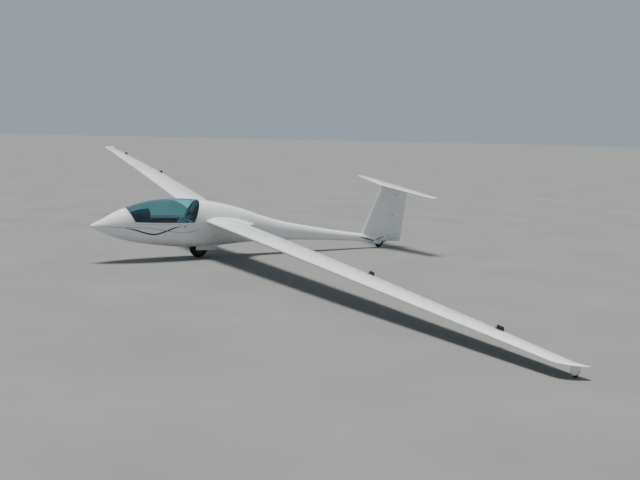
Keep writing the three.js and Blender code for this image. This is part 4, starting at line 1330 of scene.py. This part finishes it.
def shoulder_strap(tree, side):
    y = side * STRAP.shoulder
    feet = [seat_point(index, y) for index in range(STRAP_STEPS.first, STRAP_STEPS.last)]
    path, ways = strap_path(tree, feet, (0, 1, 0))
    for z in STRAP_TOP.heights:
        path.append((ahead_of_liner(z, STRAP_TOP.off), y, z))
        ways.append(STRAP_TOP.way)
    return flat_strap(path, ways, (0, 1, 0))


def lap_strap(tree, side):
    shares = np.linspace(LAP_STRAP.near, LAP_STRAP.far, LAP_STRAP.steps)
    feet = [seat_point(STRAP_STEPS.buckle, side * share * CUSHION.half) for share in shares]
    _, way = feet[0]
    along = np.array([way[2], 0, -way[0]])
    return flat_strap(*strap_path(tree, feet, along), along)


def buckle(tree):
    foot, up = seat_point(STRAP_STEPS.buckle, 0)
    spread = np.array([0, BUCKLE_REST.spread, 0])
    foot = foot + up * (height_over(tree, foot, up, spread) - BUCKLE_REST.sunk)
    path = [foot + up * height for height, _ in BUCKLE]
    return tube(path, [radius for _, radius in BUCKLE], BUCKLE_REST.sides)


def lever(side, x, z):
    """A pull handle on the cockpit wall: a rod with a round knob."""
    y, end = side * LEVER.y, x + LEVER.length
    steps = np.linspace(0, 1, KNOB.rings)
    path = [(end + KNOB.length * t, y, z) for t in steps]
    rounding = np.maximum(KNOB.least, 1 - (2 * steps - 1) ** KNOB.end_power)
    knob = KNOB.radius * np.sqrt(rounding)
    return bar((x, y, z), (end, y, z), LEVER.rod), tube(path, knob, KNOB.sides)


def pedal(side):
    x, y, z = PEDAL.x, side * PEDAL.y, PEDAL_ROD.z
    half = PEDAL_ROD.half
    plate = turned_block((x, y, PEDAL.z), PEDAL.axes, PEDAL.low, PEDAL.high)
    return plus(plate, bar((x, y - half, z), (x, y + half, z), PEDAL_ROD.radius))


# Coloured lines


def dot_rows(x, z, radius):
    return [[x + radius * t, z, radius * math.sqrt(1 - t * t)] for t in np.linspace(-1, 1, 13)]


def mark(points, side, skin=outer_side):
    """A thin coloured strip on one side of the fuselage, fin or rudder."""
    curve = along_curve(points, MARK.steps * len(points))
    rings = []
    for (x, z, half), (nx, nz) in zip(curve, normals_of(curve[:, :2])):
        half = max(half, MARK.least)
        across = np.linspace(-half, half, MARK.across)
        xs, zs = x + nx * across, z + nz * across
        y = np.max([skin(xs, zs + shift) for shift in (-MARK.look, 0, MARK.look)], axis=0)
        outer = ring_at(xs, side * (y + MARK.over), zs)
        inner = ring_at(xs, side * (y - MARK.under), zs)
        rings.append(np.vstack([outer, inner[::-1]]))
    return loft(rings)


# Materials


class Finish:
    """A material's nodes, with short calls for the usual ones."""

    def __init__(self, name, settings):
        self.material = bpy.data.materials.new(name)
        self.material.use_nodes = True
        tree = self.material.node_tree
        self.nodes, self.links = tree.nodes, tree.links
        self.shader = self.nodes["Principled BSDF"]
        for socket, value in settings.items():
            self.shader.inputs[socket].default_value = value
        self.place = self.nodes.new("ShaderNodeTexCoord").outputs["Object"]

    def add(self, kind, inputs, output=0, **settings):
        """Adds a node, sets or links its inputs, and gives one of its outputs."""
        node = self.nodes.new(f"ShaderNode{kind}")
        for setting, value in settings.items():
            setattr(node, setting, value)
        for socket, source in inputs.items():
            if isinstance(source, bpy.types.NodeSocket):
                self.links.new(source, node.inputs[socket])
            else:
                node.inputs[socket].default_value = source
        return node.outputs[output]

    def noise(self, scale, detail=4, stretch=(1, 1, 1)):
        spread = self.add("Mapping", {"Vector": self.place, "Scale": stretch})
        return self.add("TexNoise", {"Vector": spread, "Scale": scale, "Detail": detail}, "Fac")

    def ramp(self, factor, *stops):
        output = self.add("ValToRGB", {"Fac": factor})
        for element, (position, colour) in zip(output.node.color_ramp.elements, stops):
            element.position = position
            element.color = (*colour, 1)
        return output

    def mix(self, factor, base, colour):
        return self.add("Mix", {0: factor, 6: base, 7: (*colour, 1)}, 2, data_type="RGBA")

    def height(self):
        return self.add("SeparateXYZ", {"Vector": self.place}, "Z")

    def times(self, first, second):
        return self.add("Math", {0: first, 1: second}, operation="MULTIPLY")

    def span(self, factor, low, high, start=0.0, end=1.0):
        ends = {"From Min": start, "From Max": end, "To Min": low, "To Max": high}
        return self.add("MapRange", {"Value": factor, **ends})

    def set(self, socket, output):
        self.links.new(output, self.shader.inputs[socket])

    def bump(self, height, distance, strength):
        inputs = {"Height": height, "Distance": distance, "Strength": strength}
        self.set("Normal", self.add("Bump", inputs))


def gelcoat(name, splashed):
    """White gelcoat with a faint film of dirt, and with mud specks low down where it is splashed."""
    finish = Finish(name, {"Coat Weight": 0.6, "Coat Roughness": 0.05})
    base = finish.ramp(finish.noise(1.3, 5), (0.3, (0.76, 0.775, 0.78)), (0.7, (0.83, 0.835, 0.825)))
    dirt = finish.span(finish.noise(9, 7, (0.35, 1, 1)), 0, 0.35, 0.58, 0.85)
    colour = finish.mix(dirt, base, (0.60, 0.58, 0.53))
    if splashed:
        specks = finish.span(finish.noise(85, 9), 0, 0.55, 0.6, 0.72)
        mud = finish.times(specks, finish.span(finish.height(), 0.9, 0.0, 0.2, 0.5))
        colour = finish.mix(mud, colour, (0.26, 0.24, 0.18))
    finish.set("Base Color", colour)
    finish.set("Roughness", finish.span(finish.noise(5, 6), 0.2, 0.38, 0.3, 0.7))
    finish.bump(finish.noise(26, 3), 0.0008, 0.12)
    return finish.material


def tinted_glass(name):
    """Blue-green glass that lets a tinted light through to the cockpit."""
    finish = Finish(name, {"Transmission Weight": 1.0, "IOR": 1.49})
    tint = finish.ramp(finish.noise(2.2, 3), (0.3, (0.36, 0.62, 0.67)), (0.7, (0.44, 0.69, 0.74)))
    finish.set("Base Color", tint)
    finish.set("Roughness", finish.span(finish.noise(14, 4), 0.0, 0.035, 0.35, 0.75))
    finish.bump(finish.noise(5, 2), 0.0006, 0.08)
    clear = finish.add("BsdfTransparent", {"Color": (0.62, 0.83, 0.86, 1)})
    shadow = finish.add("LightPath", {}, "Is Shadow Ray")
    surface = finish.add("MixShader", {0: shadow, 1: finish.shader.outputs["BSDF"], 2: clear})
    finish.links.new(surface, finish.nodes["Material Output"].inputs["Surface"])
    return finish.material


def rubber(name):
    finish = Finish(name, {"Specular IOR Level": 0.35})
    base = finish.ramp(finish.noise(22, 5), (0.35, (0.014, 0.014, 0.015)), (0.7, (0.036, 0.035, 0.034)))
    dust = finish.span(finish.noise(9, 8), 0, 0.5, 0.52, 0.8)
    finish.set("Base Color", finish.mix(dust, base, (0.15, 0.13, 0.10)))
    finish.set("Roughness", finish.span(finish.noise(30, 4), 0.68, 0.95))
    finish.bump(finish.noise(420, 3), 0.0004, 0.5)
    return finish.material


def metal(name, dark, light, rough, grain, metallic=1.0):
    finish = Finish(name, {"Metallic": metallic})
    finish.set("Base Color", finish.ramp(finish.noise(38, 6), (0.3, dark), (0.72, light)))
    finish.set("Roughness", finish.span(finish.noise(60, 5), rough - 0.1, rough + 0.14, 0.3, 0.7))
    finish.bump(finish.noise(grain, 4, (1, 6, 1)), 0.0003, 0.3)
    return finish.material


def moulded(name, dark, light, rough, grain=520, depth=0.0004):
    """Plastic or painted fibre with a fine grain."""
    finish = Finish(name, {"Specular IOR Level": 0.4})
    finish.set("Base Color", finish.ramp(finish.noise(16, 6), (0.3, dark), (0.72, light)))
    finish.set("Roughness", finish.span(finish.noise(24, 5), rough - 0.12, rough + 0.12, 0.3, 0.7))
    finish.bump(finish.noise(grain, 4), depth, 0.5)
    return finish.material


def woven(name, dark, light, threads):
    finish = Finish(name, {"Sheen Weight": 0.35, "Sheen Roughness": 0.5, "Specular IOR Level": 0.25})
    weave = finish.noise(threads, 2)
    worn = finish.span(finish.noise(11, 6), 0, 0.35, 0.45, 0.8)
    finish.set("Base Color", finish.mix(worn, finish.ramp(weave, (0.35, dark), (0.65, light)), light))
    finish.set("Roughness", finish.span(finish.noise(40, 4), 0.8, 0.97))
    finish.bump(weave, 0.0007, 0.6)
    return finish.material


FINISHES = {
    name: maker(name, *values)
    for name, maker, *values in (
        ("gelcoat", gelcoat, False),
        ("splashed_gelcoat", gelcoat, True),
        ("canopy_glass", tinted_glass),
        ("tyre", rubber),
        ("steel", metal, (0.20, 0.205, 0.21), (0.36, 0.365, 0.37), 0.42, 160, 0.85),
        ("alloy", metal, (0.42, 0.43, 0.44), (0.62, 0.63, 0.64), 0.34, 240),
        ("composite", moulded, (0.30, 0.31, 0.315), (0.40, 0.41, 0.41), 0.5, 60, 0.001),
        ("trim", moulded, (0.018, 0.021, 0.027), (0.045, 0.05, 0.06), 0.66),
        ("clamp", moulded, (0.012, 0.012, 0.013), (0.034, 0.034, 0.036), 0.55),
        ("upholstery", woven, (0.013, 0.02, 0.052), (0.035, 0.05, 0.105), 900),
        ("webbing", woven, (0.07, 0.085, 0.13), (0.13, 0.15, 0.21), 1100),
        ("wave_paint", moulded, (0.008, 0.009, 0.014), (0.022, 0.024, 0.034), 0.3, 90, 0.0002),
        ("line_paint", moulded, (0.15, 0.17, 0.21), (0.21, 0.235, 0.28), 0.35, 90, 0.0002),
        ("dial_paint", moulded, (0.68, 0.68, 0.64), (0.8, 0.8, 0.76), 0.5, 200, 0.0001),
        ("panel_paint", moulded, (0.16, 0.18, 0.2), (0.24, 0.26, 0.28), 0.55),
        ("brake_knob", moulded, (0.02, 0.09, 0.28), (0.04, 0.14, 0.38), 0.4),
        ("gear_knob", moulded, (0.02, 0.02, 0.022), (0.05, 0.05, 0.055), 0.4),
        # The main rim's dark colour is painted shade, for the rim lying in shadow under the gear door
        ("rim_paint", moulded, (0.10, 0.105, 0.11), (0.16, 0.165, 0.17), 0.42, 120, 0.0002),
        ("tape", moulded, (0.70, 0.71, 0.71), (0.78, 0.785, 0.78), 0.45, 300, 0.0002),
    )
}


def soften(thing, bevel, angle):
    mesh = thing.data
    mesh.shade_smooth()
    mesh.set_sharp_from_angle(angle=math.radians(angle))
    if bevel:
        modifier = thing.modifiers.new("edges", "BEVEL")
        modifier.width = bevel * MM
        modifier.segments = 2
        modifier.limit_method = "ANGLE"
        modifier.angle_limit = math.radians(40)
    thing.modifiers.new("normals", "WEIGHTED_NORMAL").keep_sharp = True


def coat(thing, finish, bevel, angle):
    thing.data.materials.clear()
    thing.data.materials.append(FINISHES[finish])
    soften(thing, bevel, angle)


def finish_piece(
    thing, name, finish, body_name="airframe", slot=None, stands_for=None, bevel=0, angle=32
):
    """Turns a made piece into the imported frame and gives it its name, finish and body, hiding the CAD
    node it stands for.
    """
    thing.name = thing.data.name = name
    thing.data.transform(TO_ROW)
    coat(thing, finish, bevel, angle)
    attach(thing, body_name)
    if stands_for:
        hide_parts(stands_for)
    return thing


def replace_node(thing, node, finish="gelcoat", body_name="airframe", **more):
    return finish_piece(thing, f"{node}_look", finish, body_name, stands_for=node, **more)


def keep_node(name, finish, bevel=0, angle=32):
    coat(frame["nodes"][name], finish, bevel, angle)


# The pieces


def dress_fuselage():
    fin, rudder = fin_pieces()
    tailplane, elevator = tail_pieces()
    replace_node(cockpit_shell(), "cockpit_shell", "splashed_gelcoat", slot="gelcoat")
    replace_node(rear_fuselage(), "rear_fuselage", "splashed_gelcoat", slot="gelcoat")
    replace_node(fin, "fin")
    replace_node(tailplane, "tailplane")
    replace_node(rudder, "rudder", body_name="rudder")
    replace_node(elevator, "elevator", body_name="elevator")
    keep_node("tow_hook", "steel", 1)


def dress_marks():
    marks = {
        "wave": (WAVE, "wave_paint"),
        "dot": (dot_rows(DOT.x, DOT.z, DOT.radius), "wave_paint"),
        "line": (LONG_LINE, "line_paint"),
        "line_rear": (LONG_LINE_REAR, "line_paint"),
        "tail_mark_0": (TAIL_MARKS[0], "wave_paint"),
        "tail_mark_1": (TAIL_MARKS[1], "wave_paint"),
    }
    for name, (points, finish) in marks.items():
        for side, sign in SIDES.items():
            finish_piece(mark(points, sign), f"{name}_{side}", finish, slot="gelcoat")
    for side, sign in SIDES.items():
        line = mark(RUDDER_MARK, sign, fin_side)
        finish_piece(line, f"rudder_line_{side}", "line_paint", "rudder", slot="gelcoat")


def dress_canopy():
    replace_node(canopy_frame(), "canopy_frame", body_name="canopy")
    replace_node(canopy_glass(), "canopy_glass", "canopy_glass", "canopy")
    finish_piece(canopy_band(), "canopy_band", "clamp", "canopy")
    finish_piece(sill_lining(), "sill_lining", "trim")
    # The dark wall panels are painted shade on the cockpit's inner walls
    finish_piece(wall_shade_lining(), "wall_shade_lining", "trim")


def dress_wing(side):
    panel, aileron = inner_wing(side)
    wing, blade = fit_airbrake(side, panel)
    replace_node(wing, f"wing_inner_{side}")
    replace_node(wing_panel(side, PANEL_JOINT + SEAM, HALF_SPAN), f"wing_tip_{side}")
    replace_node(tip_fairing(side), f"tip_fairing_{side}")
    replace_node(aileron, f"aileron_{side}", body_name=f"aileron_{side}")
    replace_node(blade, f"airbrake_{side}", body_name=f"airbrake_{side}")
    replace_node(tip_wheel(side), f"tip_wheel_{side}", "tyre", f"tip_wheel_{side}")
    finish_piece(panel_tape(side), f"panel_tape_{side}", "tape", slot="gelcoat")
    for end in ("inner", "outer"):
        keep_node(f"gust_lock_{end}_{side}", "clamp", 1.5)


def dress_wheels():
    replace_node(tyre(MAIN_WHEEL), "main_tyre", "tyre", "main_wheel")
    # The main rim is given a dark colour as painted shade, for its shadow under the door
    replace_node(rim(MAIN_WHEEL), "main_rim", "rim_paint", "main_wheel", slot="alloy")
    replace_node(tyre(TAIL_WHEEL), "tail_tyre", "tyre", "tail_wheel")
    replace_node(rim(TAIL_WHEEL), "tail_rim", "alloy", "tail_wheel")
    for name in ("main_gear_fork", "main_axle", "tail_axle"):
        keep_node(name, "steel", angle=40)
    for side in SIDES:
        keep_node(f"gear_door_{side}", "splashed_gelcoat", 1)


def dress_seat():
    cushion = seat_cushion()
    tree = tree_of(cushion)
    replace_node(cushion, "seat_cushion", "upholstery", angle=60)
    rest = replace_node(headrest(), "headrest", "upholstery", angle=60)
    keep_node("seat_pan", "composite", 1)
    keep_node("rear_liner", "trim")
    for side, sign in SIDES.items():
        finish_piece(shoulder_strap(tree, sign), f"shoulder_strap_{side}", "webbing", slot="upholstery")
        finish_piece(lap_strap(tree, sign), f"lap_strap_{side}", "webbing", slot="upholstery")
    finish_piece(buckle(tree), "harness_buckle", "alloy")


def dress_instruments():
    replace_node(instrument_hood(), "instrument_hood", "trim")
    replace_node(instrument_panel(), "instrument_panel", "panel_paint", slot="trim")
    keep_node("instrument_pedestal", "trim", 1)
    finish_piece(join([dial_ring(*dial) for dial in DIALS]), "dial_rings", "clamp")
    finish_piece(join([dial_face(*dial) for dial in DIALS]), "dial_faces", "trim")
    finish_piece(join([dial_marks(*dial) for dial in DIALS]), "dial_marks", "dial_paint", slot="trim")


def dress_controls():
    finish_piece(stick_shaft(), "stick_shaft", "steel", slot="trim", stands_for="control_stick")
    finish_piece(stick_base(), "stick_base", "trim", bevel=2)
    finish_piece(stick_boot(), "stick_boot", "trim", angle=60)
    finish_piece(stick_grip(), "stick_grip", "trim", angle=60)
    for name, place in LEVERS.items():
        rod, knob = lever(*place)
        finish_piece(rod, f"{name}_rod", "steel")
        finish_piece(knob, f"{name}_knob", f"{name}_knob", slot="trim", angle=60)
    for side, sign in SIDES.items():
        finish_piece(pedal(sign), f"pedal_{side}", "alloy", bevel=1.5)


# Floor, light and camera


def add_floor():
    finish = Finish("floor", {"Specular IOR Level": 0.2})
    shades = (0.3, (0.195, 0.2, 0.194)), (0.7, (0.22, 0.225, 0.218))
    finish.set("Base Color", finish.ramp(finish.noise(0.6, 3), *shades))
    finish.set("Roughness", finish.span(finish.noise(3, 4), 0.85, 0.95))
    finish.bump(finish.noise(40, 3), 0.001, 0.2)
    corners = [(x * FLOOR_REACH, y * FLOOR_REACH, 0) for x, y in ((-1, -1), (1, -1), (1, 1), (-1, 1))]
    mesh = bpy.data.meshes.new("floor")
    mesh.from_pydata(corners, [], [(0, 1, 2, 3)])
    mesh.materials.append(finish.material)
    floor = placed("floor", mesh)


def add_light():
    world = bpy.data.worlds.new("studio")
    world.use_nodes = True
    background = world.node_tree.nodes["Background"]
    background.inputs["Color"].default_value = SKY.colour
    background.inputs["Strength"].default_value = SKY.strength
    bpy.context.scene.world = world
    sun = bpy.data.lights.new("key", "SUN")
    sun.energy, sun.angle, sun.color = SUN.energy, SUN.angle, SUN.colour
    key = placed("key", sun)
    key.visible_glossy = False
    key.visible_transmission = False
    travel = TO_ROW.to_3x3().normalized() @ Vector(SUN.travel)
    key.rotation_euler = travel.to_track_quat("-Z", "Y").to_euler()


def add_camera():
    yaw, pitch, roll = CAMERA.yaw, CAMERA.pitch, CAMERA.roll
    turn = Matrix.Identity(4)
    for angle, axis in ((-yaw, "Z"), (math.pi / 2 + pitch, "X"), (roll, "Z")):
        turn @= Matrix.Rotation(angle, 4, axis)
    data = bpy.data.cameras.new("camera")
    data.sensor_width = SENSOR
    data.lens = CAMERA.focal * SENSOR / IMAGE_WIDTH
    data.clip_end = 1000
    camera = placed("camera", data)
    metres = Matrix.Scale(1 / MM, 4)
    camera.matrix_world = TO_ROW @ metres @ Matrix.Translation(CAMERA.place) @ turn
    bpy.context.scene.camera = camera


dress_fuselage()
dress_marks()
dress_canopy()
for wing_side in SIDES:
    dress_wing(wing_side)
dress_wheels()
dress_seat()
dress_instruments()
dress_controls()
add_floor()
add_light()
add_camera()
